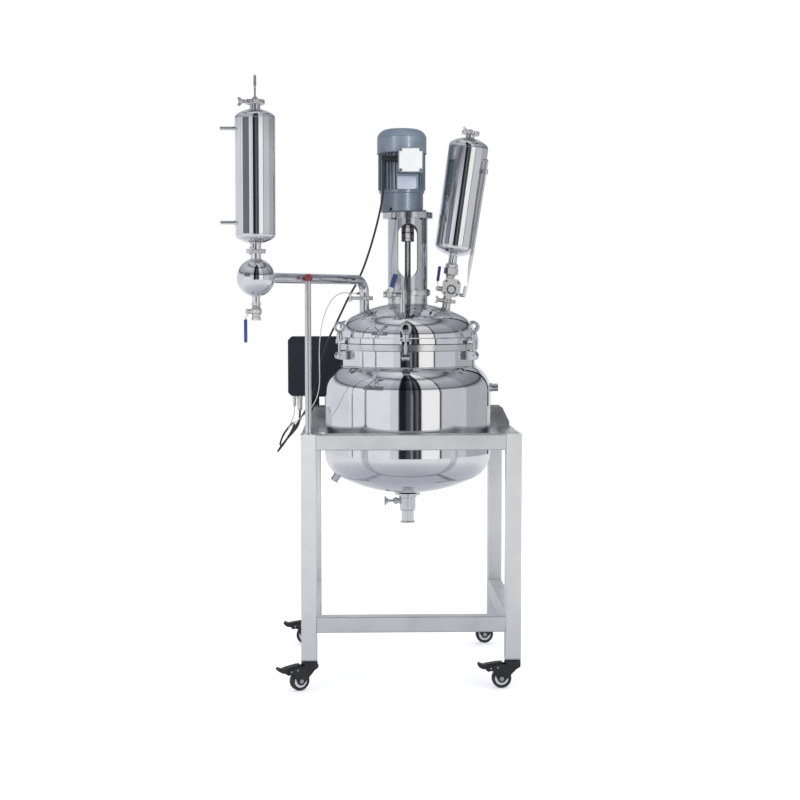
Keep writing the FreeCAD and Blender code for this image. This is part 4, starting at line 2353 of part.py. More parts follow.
def make_glands():
    """Cable glands of the terminal box and the control box."""
    terminal, power, sensor = gland_points()
    first = gland("gland_power", 4.5, 9, S["box_low"] - power[2])
    place(first, power[0], power[1], S["box_low"])
    second = gland("gland_sensor", 2.5, 6, S["box_low"] - sensor[2])
    place(second, sensor[0], sensor[1], S["box_low"])
    x, y, z = terminal
    side = S["motor_x"] + S["terminal_x"] - S["terminal_side"] / 2
    entry = cylinder("gland_entry", 9, side + 11 - x)
    place(entry, x - 9, y, z + 16, Y_AXIS, 90)
    drop = cylinder("gland_drop", 7, 18)
    place(drop, x, y, z)
    ball = place(sphere("gland_corner", 9), x, y, z + 16)
    third = fuse("gland_terminal", [entry, drop, ball])
    keep("cable_glands", on_axis(group("cable_glands", [first, second, third])))


# Cable routes, from the vessel's axis, chosen by hand.
MOTOR_CABLE = [
    (-79.5, -84.0, 1690.0),
    (-79.5, -84.0, 1645.0),
    (-84.0, -82.0, 1588.0),
    (-96.0, -74.0, 1525.0),
    (-113.0, -50.0, 1458.0),
    (-131.0, -14.0, 1398.0),
    (-150.0, 12.0, 1344.0),
    (-171.0, 8.0, 1298.0),
    (-196.0, -24.0, 1256.0),
    (-219.0, -34.0, 1208.0),
    (-240.0, -8.0, 1164.0),
    (-262.0, 40.0, 1122.0),
    (-279.0, 88.0, 1080.0),
    (-295.0, 124.0, 1030.0),
    (-308.0, 148.0, 972.0),
    (-322.0, 166.0, 916.0),
    (-344.0, 184.0, 866.0),
    (-374.0, 204.0, 818.0),
    (-407.0, 228.0, 770.0),
    (-436.0, 262.0, 728.0),
    (-449.0, 304.0, 722.0),
    (-437.0, 330.0, 758.0),
    (-409.0, 316.0, 796.0),
    (-392.0, 280.0, 808.0),
    (-398.0, 236.0, 786.0),
    (-420.0, 216.0, 748.0),
    (-447.0, 232.0, 712.0),
    (-455.0, 274.0, 702.0),
    (-437.0, 306.0, 728.0),
    (-405.0, 296.0, 764.0),
    (-381.0, 262.0, 794.0),
    (-372.5, 236.0, 822.0),
    (-372.5, 236.0, 852.0),
]
SENSOR_LEAD = [
    (-172.0, -30.0, 1263.0),
    (-190.0, -30.0, 1263.0),
    (-211.0, -35.0, 1266.0),
    (-232.0, -48.0, 1262.0),
    (-252.0, -68.0, 1246.0),
    (-268.0, -98.0, 1220.0),
    (-281.0, -134.0, 1184.0),
    (-290.0, -165.0, 1138.0),
    (-294.0, -184.0, 1084.0),
    (-293.0, -192.0, 1028.0),
    (-292.0, -188.0, 974.0),
    (-299.0, -168.0, 930.0),
    (-315.0, -132.0, 896.0),
    (-331.7, -94.5, 873.9),
    (-347.8, -54.7, 857.1),
    (-363.2, -13.2, 843.1),
    (-377.7, 28.6, 830.0),
    (-390.8, 71.6, 817.1),
    (-401.3, 115.2, 805.1),
    (-408.0, 160.0, 796.0),
    (-410.0, 204.0, 796.0),
    (-401.0, 229.0, 816.0),
    (-391.5, 236.0, 842.0),
    (-391.5, 236.0, 866.0),
]
ARC_SHARE = 0.45


def cord_wire(route):
    """Straight runs joined by tangent arcs as large as each pair of runs allows."""
    edges = []
    radii = []
    start = route[0]
    for before, corner, after in zip(route, route[1:], route[2:]):
        into = corner.sub(before)
        onward = after.sub(corner)
        turn = into.getAngle(onward)
        reach = ARC_SHARE * min(into.Length, onward.Length)
        radii.append(reach / math.tan(turn / 2))
        first = corner - into.normalize() * reach
        last = corner + onward.normalize() * reach
        inward = (first + last) * 0.5 - corner
        gap = inward.Length
        depth = radii[-1] * (1 / math.cos(turn / 2) - 1)
        middle = corner + inward * (depth / gap)
        edges.append(Part.LineSegment(start, first).toShape())
        edges.append(Part.Arc(first, middle, last).toShape())
        start = last
    edges.append(Part.LineSegment(start, route[-1]).toShape())
    return Part.Wire(edges), min(radii)


def laid(points, start, end):
    """Route whose two ends follow the pieces that they meet."""
    first = Vector(*[number(term) for term in start]) - Vector(*points[0])
    last = Vector(*[number(term) for term in end]) - Vector(*points[-1])
    share = 1 / (len(points) - 1)
    return [
        Vector(*point) + first * (1 - index * share) + last * (index * share)
        for index, point in enumerate(points)
    ]


def make_cord(node, points, start, end, size):
    """Round cord swept along its route, checked against section times length."""
    radius = number(size)
    route = laid(points, start, end)
    wire, tightest = cord_wire(route)
    start = route[0]
    along = route[1] - start
    section = Part.Wire([Part.Circle(start, along, radius).toShape()])
    solid = wire.makePipeShell([section], True, False)
    expected = math.pi * radius ** 2 * wire.Length
    ratio = solid.Volume / expected
    report = f"{node}: length {wire.Length:.0f}, tightest bend {tightest:.0f}, volume {ratio:.3f}"
    print(report)
    obj = DOC.addObject("Part::Feature", node)
    obj.Shape = solid
    keep(node, on_axis(obj))


def build():
    """Make every sub-part in order, from the floor up."""
    make_legs()
    make_rails()
    make_foot_plates()
    for corner, side_x, side_y, heading in CASTERS:
        make_fork(corner, side_x, side_y, heading)
        make_wheel(corner, side_x, side_y, heading)
        make_pedal(corner, side_x, side_y, heading)
    make_inner_vessel()
    make_jacket()
    make_jacket_nozzles()
    make_body_flange()
    make_gasket()
    make_lid()
    make_lid_ports()
    for index in CLAMPS:
        make_swing_bolt(index)
    make_drain_valve()
    make_drain_handle()
    make_support_lugs()
    make_bolts()
    make_seal_housing()
    make_stand()
    make_stirrer_shaft()
    make_coupling()
    make_anchor()
    make_gearbox()
    make_motor()
    make_terminal_box()
    make_cowl()
    make_fan()
    make_vapour_pipe()
    make_vapour_ball()
    make_condenser()
    make_thermometer()
    make_post()
    make_ferrule_clamps()
    make_small_valves()
    make_levers()
    make_dosing_tank()
    make_balance_tube()
    make_control_box()
    make_knob()
    make_bracket()
    make_glands()
    terminal, power, sensor = gland_points()
    boss = (
        S["vapour_x"] - S["pipe_radius"] - 10,
        S["vapour_y"],
        S["vapour_joint"] + 16,
    )
    make_cord("motor_cable", MOTOR_CABLE, terminal, power, S["cable_radius"])
    make_cord("sensor_lead", SENSOR_LEAD, boss, sensor, S["lead_radius"])


def check_and_write():
    """Stop on any failed object or bad shape, then write one file per sub-part."""
    DOC.recompute()
    failed = [
        obj.Label for obj in DOC.Objects if {"Invalid", "Error"} & set(obj.State)
    ]
    if failed:
        raise RuntimeError(f"objects failed: {failed}")
    for obj in NODES:
        if obj.Shape.isNull() or not obj.Shape.isValid():
            raise RuntimeError(f"bad shape: {obj.Label}")
    for obj in NODES:
        obj.Shape.exportStep(f"parts/{obj.Label}.step")
    print(f"{len(NODES)} sub-parts written")


build()
check_and_write()
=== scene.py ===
"""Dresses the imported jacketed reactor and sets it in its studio.

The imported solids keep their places. This script gives each one its finish, adds the small
pieces that the solids leave out, and puts up the floor, the lights and the camera. Lengths
are in millimetres from the vessel's axis at floor level, unless a docstring says otherwise.
"""
from __future__ import annotations

import logging
import math
from collections.abc import Callable
from dataclasses import dataclass
from enum import Enum

import bmesh
import bpy
from mathutils import Matrix, Vector


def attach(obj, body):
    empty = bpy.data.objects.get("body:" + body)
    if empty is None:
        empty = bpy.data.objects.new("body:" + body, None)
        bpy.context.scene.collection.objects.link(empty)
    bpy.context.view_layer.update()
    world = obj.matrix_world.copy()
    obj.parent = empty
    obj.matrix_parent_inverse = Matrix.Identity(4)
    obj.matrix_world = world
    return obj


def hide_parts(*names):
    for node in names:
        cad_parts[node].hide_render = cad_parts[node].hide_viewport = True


Pair = tuple[float, float]
Triple = tuple[float, float, float]
# A half section or a flat outline.
Outline = tuple[Pair, ...]
Colour = tuple[float, float, float, float]
Blank = tuple[bpy.types.Material, bpy.types.Node, bpy.types.NodeTree]

LOG = logging.getLogger("reactor")
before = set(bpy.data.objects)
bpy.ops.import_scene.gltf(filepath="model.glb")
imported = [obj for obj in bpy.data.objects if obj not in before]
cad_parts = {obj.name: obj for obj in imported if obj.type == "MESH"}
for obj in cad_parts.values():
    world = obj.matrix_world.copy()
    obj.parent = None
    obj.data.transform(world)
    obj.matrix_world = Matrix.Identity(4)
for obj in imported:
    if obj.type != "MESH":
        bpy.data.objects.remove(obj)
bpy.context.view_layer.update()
MM = 0.001
# The vessel's axis in the row frame, in metres.
AXIS = Vector((0.115, 0.109, 0.0))
# The body of all that stands still.
STAND = "stand"
# Noise lies mostly between these, so ramps and ranges are stretched over them.
NOISE_LOW, NOISE_HIGH = 0.3, 0.7


class Facing(Enum):
    """Which way a round piece looks, as the sign of its Y direction."""

    BACK = 1
    FRONT = -1


class Corner(Enum):
    """The frame's corners, by the names that their casters carry."""

    FRONT_LEFT = "front_left"
    FRONT_RIGHT = "front_right"
    BACK_LEFT = "back_left"
    BACK_RIGHT = "back_right"


def spot(x: float, y: float, z: float) -> Vector:
    """A point given from the vessel's axis, in the row frame in metres."""
    return Vector((x * MM, y * MM, z * MM)) + AXIS


def shift(x: float, y: float, z: float) -> Matrix:
    """A plain move."""
    return Matrix.Translation(Vector((x, y, z)) * MM)


def turn(degrees: float, axis: str) -> Matrix:
    """A turn about X, Y or Z."""
    return Matrix.Rotation(math.radians(degrees), 4, axis)


def faced(x: float, y: float, z: float, way: Facing) -> Matrix:
    """Turns a piece drawn along Z to look to the back or the front, at a point."""
    return shift(x, y, z) @ turn(-90 * way.value, "X")


# Frames in which pieces are drawn: the vessel's axis, an axis along +X, the leaning dosing
# tank's foot, and the middle of the vapour ball.
AT_AXIS = Matrix.Translation(AXIS)
TO_RIGHT = turn(90, "Y")
DOSING = Matrix.Translation(spot(126, 0, 1196)) @ turn(8, "Y")
BALL = Matrix.Translation(spot(-476, -509, 1308))


def linear(colour: str) -> Colour:
    """Turns an sRGB hex colour into linear light.

    Args:
        colour: six hex digits.

    Returns:
        Red, green, blue and an alpha of 1.
    """
    parts = [int(colour[i : i + 2], 16) / 255 for i in (0, 2, 4)]
    red, green, blue = (
        p / 12.92 if p <= 0.04045 else ((p + 0.055) / 1.055) ** 2.4 for p in parts
    )
    return red, green, blue, 1.0


def add_node(
    tree: bpy.types.NodeTree, kind: str, settings: dict | None = None, links: dict | None = None
) -> bpy.types.Node:
    """Adds one node with its settings and links.

    Args:
        tree: the node tree.
        kind: the node's type name.
        settings: attribute names, input names in square brackets, or "stops" for a colour
            ramp's pairs of position and linear colour, and their values.
        links: input names and the output sockets that feed them.

    Returns:
        The new node.
    """
    node = tree.nodes.new(kind)
    for name, value in (settings or {}).items():
        if name.startswith("["):
            node.inputs[name[1:-1]].default_value = value
        elif name == "stops":
            elements = node.color_ramp.elements
            elements[0].position, elements[0].color = value[0]
            elements[1].position, elements[1].color = value[-1]
            for position, colour in value[1:-1]:
                elements.new(position).color = colour
        else:
            setattr(node, name, value)
    for name, socket in (links or {}).items():
        tree.links.new(socket, node.inputs[name])
    return node


def link(name: str, data: bpy.types.ID) -> bpy.types.Object:
    """Puts new data into the scene as an object."""
    obj = bpy.data.objects.new(name, data)
    bpy.context.scene.collection.objects.link(obj)
    return obj


def blank_material(name: str) -> Blank:
    """Makes a material with its shader alone.

    Args:
        name: what the surface is made of.

    Returns:
        The material, its Principled shader and its node tree.
    """
    material = bpy.data.materials.new(name)
    material.use_nodes = True
    tree = material.node_tree
    return material, tree.nodes["Principled BSDF"], tree


@dataclass(frozen=True)
class Finish:
    """What every finish has: two close tones and a roughness that wanders.

    Args:
        name: what the surface is.
        light: the brighter colour, in hex.
        dark: the duller colour, in hex.
        gloss: the lowest roughness.
        haze: how much roughness the surface adds to it.
    """

    name: str
    light: str
    dark: str
    gloss: float
    haze: float

    def feed(
        self,
        tree: bpy.types.NodeTree,
        shader: bpy.types.Node,
        cloud: bpy.types.Node,
        wander: bpy.types.Node,
        skin: bpy.types.Node,
        relief: Pair,
    ) -> None:
        """Feeds the shader's colour, roughness and normal from patterns.

        Args:
            tree: the material's node tree.
            shader: its Principled shader.
            cloud: noise that moves between the two tones.
            wander: noise that moves the roughness.
            skin: noise that gives the surface its height.
            relief: strength of the bump and its height in millimetres.
        """
        tones = [(NOISE_LOW, linear(self.dark)), (NOISE_HIGH, linear(self.light))]
        colour = add_node(
            tree, "ShaderNodeValToRGB", {"stops": tones}, {"Fac": cloud.outputs["Fac"]}
        )
        rough = add_node(
            tree,
            "ShaderNodeMapRange",
            {
                "[From Min]": NOISE_LOW,
                "[From Max]": NOISE_HIGH,
                "[To Min]": self.gloss,
                "[To Max]": self.gloss + self.haze,
            },
            {"Value": wander.outputs["Fac"]},
        )
        bump = add_node(
            tree,
            "ShaderNodeBump",
            {"[Strength]": relief[0], "[Distance]": relief[1] * MM},
            {"Height": skin.outputs["Fac"]},
        )
        tree.links.new(colour.outputs["Color"], shader.inputs["Base Color"])
        tree.links.new(rough.outputs["Result"], shader.inputs["Roughness"])
        tree.links.new(bump.outputs["Normal"], shader.inputs["Normal"])


@dataclass(frozen=True)
class Metal(Finish):
    """Steel, rolled or ground or cast, with its grain and its haze.

    Args:
        grain_mm: size of the grain across the lay, in millimetres.
        lay: how many times longer the grain is along X, Y and Z.
        relief: strength of the bump.
        depth_mm: height of the bump, in millimetres.
        cloud_mm: size of the patches of duller metal, in millimetres.
    """

    grain_mm: float
    lay: Triple = (1, 1, 1)
    relief: float = 0.1
    depth_mm: float = 0.05
    cloud_mm: float = 1000 / 14

    def build(self) -> bpy.types.Material:
        """Makes the node material."""
        material, shader, tree = blank_material(self.name)
        place = add_node(tree, "ShaderNodeTexCoord").outputs["Object"]
        scale = tuple(1 / (self.grain_mm * MM * stretch) for stretch in self.lay)
        mapped = add_node(tree, "ShaderNodeMapping", {"[Scale]": scale}, {"Vector": place})
        grain = add_node(
            tree,
            "ShaderNodeTexNoise",
            {"[Scale]": 1.0, "[Detail]": 4.0, "[Roughness]": 0.6},
            {"Vector": mapped.outputs["Vector"]},
        )
        cloud = add_node(
            tree,
            "ShaderNodeTexNoise",
            {"[Scale]": 1 / (self.cloud_mm * MM), "[Detail]": 3.0},
            {"Vector": place},
        )
        shader.inputs["Metallic"].default_value = 1.0
        self.feed(tree, shader, cloud, grain, grain, (self.relief, self.depth_mm))
        return material


@dataclass(frozen=True)
class Coat(Finish):
    """Paint, plastic or rubber, with a fine skin and slight changes of tone.

    Args:
        skin_mm: size of the skin's pattern, in millimetres.
        relief: strength of the bump.
        depth_mm: height of the bump, in millimetres.
        clear: weight of a clear coat.
        ior: index of refraction.
        cloud_mm: size of the patches of another tone, in millimetres.
    """

    skin_mm: float
    relief: float = 0.15
    depth_mm: float = 0.05
    clear: float = 0.0
    ior: float = 1.5
    cloud_mm: float = 1000 / 22

    def build(self) -> bpy.types.Material:
        """Makes the node material."""
        material, shader, tree = blank_material(self.name)
        place = add_node(tree, "ShaderNodeTexCoord").outputs["Object"]
        skin = add_node(
            tree,
            "ShaderNodeTexNoise",
            {"[Scale]": 1 / (self.skin_mm * MM), "[Detail]": 3.0},
            {"Vector": place},
        )
        cloud = add_node(
            tree,
            "ShaderNodeTexNoise",
            {"[Scale]": 1 / (self.cloud_mm * MM), "[Detail]": 4.0},
            {"Vector": place},
        )
        shader.inputs["IOR"].default_value = self.ior
        shader.inputs["Coat Weight"].default_value = self.clear
        self.feed(tree, shader, cloud, cloud, skin, (self.relief, self.depth_mm))
        return material


# The finishes. A metal's fourth and fifth numbers are its gloss and haze, then come the
# grain, the lay, and the bump's strength and height. Grains under a millimetre are drawn
# as coarse as they need to show.
#
# Sheet polished to a mirror: sharp reflections, which the slow waves of rolled sheet bend.
MIRROR = Metal(
    "mirror_polished_stainless", "EAEAEC", "E2E2E5", 0.035, 0.03, 60.0, (1, 1, 1.6), 0.06, 0.6
)
# Square tube polished along its length: soft pale streaks along the lay.
TUBE_UPRIGHT = Metal(
    "polished_tube_upright", "EDEEED", "E5E6E6", 0.30, 0.10, 0.9, (1, 1, 160), 0.05, 0.02
)
# The rails wear the same tube as the uprights, in a darker tone that is painted shade.
SHADED_RAIL_TUBE = Metal(
    "polished_rail_tube_painted_shade", "DEE0E0", "D3D5D6", 0.30, 0.10, 0.9, (120, 120, 1), 0.05, 0.02
)
# Turned or rolled pipe with a satin finish: wide soft highlights.
SATIN = Metal("satin_stainless", "E0E0E2", "D2D3D5", 0.15, 0.10, 1.2, (1, 1, 60), 0.03, 0.02)
# The stand's heavier pipe: the same highlights in a darker grey, which is painted shade.
SHADED_STAND_PIPE_SATIN = Metal(
    "satin_stand_painted_shade", "CACBCF", "BCBDC2", 0.15, 0.10, 1.2, (1, 1, 60), 0.03, 0.02
)
# Investment cast fitting, blasted: pale and dull, with a fine sandy skin.
CAST = Metal("blasted_cast_stainless", "E4E4E3", "D2D2D1", 0.24, 0.12, 0.9, (1, 1, 1), 0.2, 0.05)
# Zinc plated steel: bluish and slightly cloudy.
ZINC = Metal("zinc_plated_steel", "C3C6CA", "AFB3B8", 0.24, 0.12, 1.5, (1, 1, 1), 0.12, 0.03)
# Ground bar: a dark clean grey.
GROUND = Metal("ground_steel_bar", "CBCBCE", "BABBBF", 0.18, 0.08, 1.2, (1, 1, 40), 0.03, 0.02)
# Blue grey machine enamel, sprayed on a casting: semi gloss with orange peel.
ENAMEL = Coat("blue_grey_machine_enamel", "66727F", "5A6774", 0.30, 0.12, 1.6, 0.18, 0.05, 0.15)
# The same enamel on the gearbox's rougher casting, a shade darker: the darker tone is painted
# shade.
SHADED_GEARBOX_ENAMEL = Coat(
    "blue_grey_casting_enamel_painted_shade", "56616E", "4B5662", 0.30, 0.12, 1.6, 0.22, 0.06, 0.15
)
# Baked box enamel: near black with a faint blue, and matt.
BOX_ENAMEL = Coat(
    "near_black_box_enamel", "2A2D3B", "242733", 0.50, 0.10, 1.0, 0.2, 0.03, 0.0, 1.35
)
# Moulded nylon: black, with a fine matt skin.
NYLON = Coat("moulded_black_nylon", "242529", "1B1C1F", 0.38, 0.15, 0.8, 0.25, 0.04)
# The same nylon in pale grey, on the casters' hubs.
PALE_NYLON = Coat("pale_grey_hub_ring", "D3D5DA", "C4C6CB", 0.38, 0.1, 0.8, 0.15, 0.04)
# Polyurethane tread: a tougher black with a duller skin.
TREAD = Coat("black_wheel_tread", "2C2D30", "222326", 0.5, 0.15, 0.6, 0.3, 0.04)
# Dipped vinyl: glossy, with soft ripples, in a clear blue, a faded one and a deep one.
BLUE_VINYL = Coat("dipped_blue_vinyl", "274A96", "203F84", 0.26, 0.1, 4.0, 0.15, 0.1, 0.2)
DIM_VINYL = Coat("dipped_dim_blue_vinyl", "35437F", "2D3A70", 0.28, 0.1, 4.0, 0.15, 0.1, 0.2)
NAVY_VINYL = Coat("dipped_navy_vinyl", "2C2F7A", "24266A", 0.28, 0.1, 4.0, 0.15, 0.1, 0.2)
# Moulded clip: a dull brick red.
RED_VINYL = Coat("red_moulded_clip", "96303A", "822730", 0.32, 0.1, 2.0, 0.15, 0.05, 0.1)
# Rubber: black, with hardly a highlight.
GASKET = Coat("black_gasket_rubber", "1C1C1D", "151516", 0.6, 0.15, 0.8, 0.2, 0.04)
# Extruded sheaths: the cable's black with a long soft highlight, the lead's off white.
SHEATH = Coat("black_cable_sheath", "2A2A2C", "202022", 0.42, 0.12, 1.2, 0.15, 0.04)
PALE_SHEATH = Coat("pale_lead_sheath", "CFCFCB", "C0C0BC", 0.45, 0.1, 1.0, 0.1, 0.03)
# Coated sheet aluminium: an even white, and a pale blue grey, both blank.
WHITE_PLATE = Coat("white_coated_plate", "F3F4F5", "ECEDEF", 0.3, 0.1, 1.0, 0.1, 0.02)
PALE_PLATE = Coat("pale_blue_grey_plate", "C3CDDC", "BAC4D4", 0.3, 0.1, 1.0, 0.1, 0.02)
# Tinted window: black, with clear reflections.
DARK_GLASS = Coat("dark_window_glass", "0B0C10", "08090C", 0.06, 0.04, 5.0, 0.02, 0.02)


class Finishes:
    """Builds each material once and hands it out by its finish."""

    def __init__(self) -> None:
        """Starts with no material built."""
        self.built: dict[str, bpy.types.Material] = {}

    def get(self, finish: Metal | Coat) -> bpy.types.Material:
        """The material of a finish, built at its first use."""
        if finish.name not in self.built:
            self.built[finish.name] = finish.build()
        return self.built[finish.name]


FINISHES = Finishes()
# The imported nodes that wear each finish.
WORN = (
    (TUBE_UPRIGHT, "frame_legs"),
    (SHADED_RAIL_TUBE, "frame_rails"),
    (ZINC, "caster_plates fixing_bolts"),
    (
        MIRROR,
        "inner_vessel jacket_shell lid_shell vapour_pipe vapour_ball condenser_shell "
        "dosing_tank",
    ),
    (
        SATIN,
        "jacket_nozzles body_flange lid_ports drain_valve_body drain_handle support_lugs "
        "seal_housing anchor_stirrer support_post balance_tube",
    ),
    (GASKET, "lid_gasket"),
    (SHADED_STAND_PIPE_SATIN, "stand_tube"),
    (GROUND, "stirrer_shaft thermometer"),
    (
        CAST,
        "shaft_coupling ferrule_clamps valve_bodies ball_drain_lever dosing_lever vent_lever "
        "cable_glands",
    ),
    (SHADED_GEARBOX_ENAMEL, "gearbox"),
    (ENAMEL, "motor_housing terminal_box fan_cowl"),
    (NYLON, "cooling_fan control_knob"),
    (BOX_ENAMEL, "control_box box_bracket"),
)
NODE_FINISH: dict[str, Metal | Coat] = {
    name: finish for finish, names in WORN for name in names.split()
}
BOLTS = 6
NODE_FINISH |= {f"swing_bolt_{number + 1}": SATIN for number in range(BOLTS)}
for place in Corner:
    NODE_FINISH[f"caster_fork_{place.value}"] = NYLON
    NODE_FINISH[f"caster_wheel_{place.value}"] = TREAD
    NODE_FINISH[f"caster_pedal_{place.value}"] = NYLON


def dress_nodes() -> None:
    """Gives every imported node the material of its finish."""
    for name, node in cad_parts.items():
        finish = NODE_FINISH.get(name)
        if finish is None:
            continue
        material = FINISHES.get(finish)
        if not node.material_slots:
            node.data.materials.append(material)
        for slot in node.material_slots:
            slot.material = material


def nodes_with(*finishes: Metal | Coat) -> list[bpy.types.Object]:
    """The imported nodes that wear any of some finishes."""
    return [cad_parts[name] for name, worn in NODE_FINISH.items() if worn in finishes]


# Edges that turn by more than this, in degrees, stay sharp.
SHARP = 35.0


class Piece:
    """One new piece: a bmesh that becomes an object on a body."""

    def __init__(self, name: str) -> None:
        """Starts an empty mesh of this name."""
        self.name = name
        self.mesh = bmesh.new()

    def turned(self, profile: Outline, steps: int = 48, closed: bool = False) -> Piece:
        """Spins a half section about the Z axis.

        Args:
            profile: radius and height of each point.
            steps: number of facets round the axis.
            closed: True joins the last point to the first.

        Returns:
            This piece.
        """
        verts = [self.mesh.verts.new((r * MM, 0, z * MM)) for r, z in profile]
        edges = [self.mesh.edges.new(pair) for pair in zip(verts, verts[1:])]
        if closed:
            edges.append(self.mesh.edges.new((verts[-1], verts[0])))
        bmesh.ops.spin(
            self.mesh,
            geom=[*verts, *edges],
            cent=(0, 0, 0),
            axis=(0, 0, 1),
            angle=math.tau,
            steps=steps,
            use_merge=True,
            use_duplicate=False,
        )
        bmesh.ops.remove_doubles(self.mesh, verts=self.mesh.verts[:], dist=1e-6)
        bmesh.ops.recalc_face_normals(self.mesh, faces=self.mesh.faces[:])
        return self

    def ease(self, edges: list[bmesh.types.BMEdge], soft: float, segments: int) -> None:
        """Rounds some edges to a radius, with a number of facets."""
        bmesh.ops.bevel(
            self.mesh,
            geom=edges,
            offset=soft * MM,
            offset_type="OFFSET",
            affect="EDGES",
            segments=segments,
            profile=0.5,
            material=-1,
        )

    def block(self, size: Triple, soft: float, segments: int = 3) -> Piece:
        """Makes a box about the origin with rounded edges.

        Args:
            size: width, depth and height.
            soft: radius of the edges.
            segments: facets of each rounded edge.

        Returns:
            This piece.
        """
        made = bmesh.ops.create_cube(self.mesh, size=1.0)
        scale = Vector([side * MM for side in size])
        bmesh.ops.scale(self.mesh, vec=scale, verts=made["verts"])
        self.ease(self.mesh.edges[:], soft, segments)
        return self

    def slab(self, outline: Outline, height: float) -> Piece:
        """Raises a flat outline from z = 0, with its top edges eased.

        Args:
            outline: corners, anticlockwise.
            height: thickness.

        Returns:
            This piece.
        """
        verts = [self.mesh.verts.new((x * MM, y * MM, 0)) for x, y in outline]
        base = self.mesh.faces.new(verts)
        made = bmesh.ops.extrude_face_region(self.mesh, geom=[base])
        top = [item for item in made["geom"] if isinstance(item, bmesh.types.BMVert)]
        bmesh.ops.translate(self.mesh, vec=(0, 0, height * MM), verts=top)
        bmesh.ops.recalc_face_normals(self.mesh, faces=self.mesh.faces[:])
        rim = [edge for edge in self.mesh.edges if all(vert in top for vert in edge.verts)]
        self.ease(rim, 0.3 * height, 2)
        return self

    def bead(self, loop: list[Vector], radius: float, sides: int = 8) -> None:
        """Adds a closed round bead along a loop, which may leave its plane.

        Args:
            loop: points of the loop, in the row frame.
            radius: radius of the bead.
            sides: facets round the bead.
        """
        rings = []
        count = len(loop)
        middle = sum(loop, Vector()) / count
        for index, point in enumerate(loop):
            along = (loop[(index + 1) % count] - loop[index - 1]).normalized()
            out = (point - middle).cross(along).cross(along).normalized()
            up = along.cross(out)
            angles = [math.tau * step / sides for step in range(sides)]
            offsets = [(out * math.cos(a) + up * math.sin(a)) * radius * MM for a in angles]
            rings.append([self.mesh.verts.new(point + offset) for offset in offsets])
        for near, far in zip(rings, rings[1:] + rings[:1]):
            for step in range(sides):
                after = (step + 1) % sides
                self.mesh.faces.new((near[step], near[after], far[after], far[step]))
        bmesh.ops.recalc_face_normals(self.mesh, faces=self.mesh.faces[:])

    def take(self, other: Piece) -> Piece:
        """Moves another piece's mesh into this one."""
        spare = bpy.data.meshes.new("spare")
        other.mesh.to_mesh(spare)
        other.mesh.free()
        self.mesh.from_mesh(spare)
        bpy.data.meshes.remove(spare)
        return self

    def placed(self, matrix: Matrix) -> Piece:
        """Applies a matrix to the whole piece."""
        bmesh.ops.transform(self.mesh, matrix=matrix, verts=self.mesh.verts[:])
        return self

    def done(self, finish: Metal | Coat, body: str, slot: str) -> None:
        """Turns the mesh into an object that rides on a body.

        Args:
            finish: the finish to dress it in.
            body: the body it moves with.
            slot: the record's material slot; not used.
        """
        limit = math.radians(SHARP)
        for face in self.mesh.faces:
            face.smooth = True
        for edge in self.mesh.edges:
            edge.smooth = not edge.is_manifold or edge.calc_face_angle(0.0) < limit
        data = bpy.data.meshes.new(self.name)
        self.mesh.to_mesh(data)
        self.mesh.free()
        data.materials.append(FINISHES.get(finish))
        obj = link(self.name, data)
        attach(obj, body)
        LOG.info("%s: %d faces on %s", self.name, len(data.polygons), body)


@dataclass(frozen=True)
class Cord:
    """One cord from its fitting to its gland. Its length is in metres."""

    name: str
    node: str
    route: tuple[Triple, ...]
    radius: float
    length: float
    finish: Coat
    slot: str
    stiffness: str

    def draw(self) -> bpy.types.Object:
        """Draws the cord as one smooth round curve."""
        curve = bpy.data.curves.new(self.name, "CURVE")
        curve.dimensions = "3D"
        spline = curve.splines.new("NURBS")
        spline.points.add(len(self.route) - 1)
        for point, place in zip(spline.points, self.route):
            point.co = (*spot(*place), 1.0)
        spline.order_u = 3
        spline.use_endpoint_u = True
        spline.resolution_u = 10
        curve.bevel_depth = self.radius * MM
        curve.bevel_resolution = 5
        curve.use_fill_caps = True
        return link(self.name, curve)

    def build(self) -> None:
        run = self.draw()
        run.data.materials.append(FINISHES.get(self.finish))
        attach(run, STAND)
        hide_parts(self.node)
        LOG.info("%s: %.3f m from %s", self.name, self.length, self.node)


# From the terminal box behind the vapour pipe, through the coil and up into its gland.
MOTOR_ROUTE = (
    (-79.5, -84, 1690), (-79.5, -84, 1645), (-84, -82, 1588),
    (-96, -74, 1525), (-113, -50, 1458), (-131, -14, 1398),
    (-150, 12, 1344), (-171, 8, 1298), (-196, -24, 1256),
    (-219, -34, 1208), (-240, -8, 1164), (-262, 40, 1122),
    (-279, 88, 1080), (-295, 124, 1030), (-308, 148, 972),
    (-322, 166, 916), (-344, 184, 866), (-374, 204, 818),
    (-407, 228, 770), (-436, 262, 728), (-449, 304, 722),
    (-437, 330, 758), (-409, 316, 796), (-392, 280, 808),
    (-398, 236, 786), (-420, 216, 748), (-447, 232, 712),
    (-455, 274, 702), (-437, 306, 728), (-405, 296, 764),
    (-381, 262, 794), (-372.5, 236, 822), (-372.5, 236, 852),
)
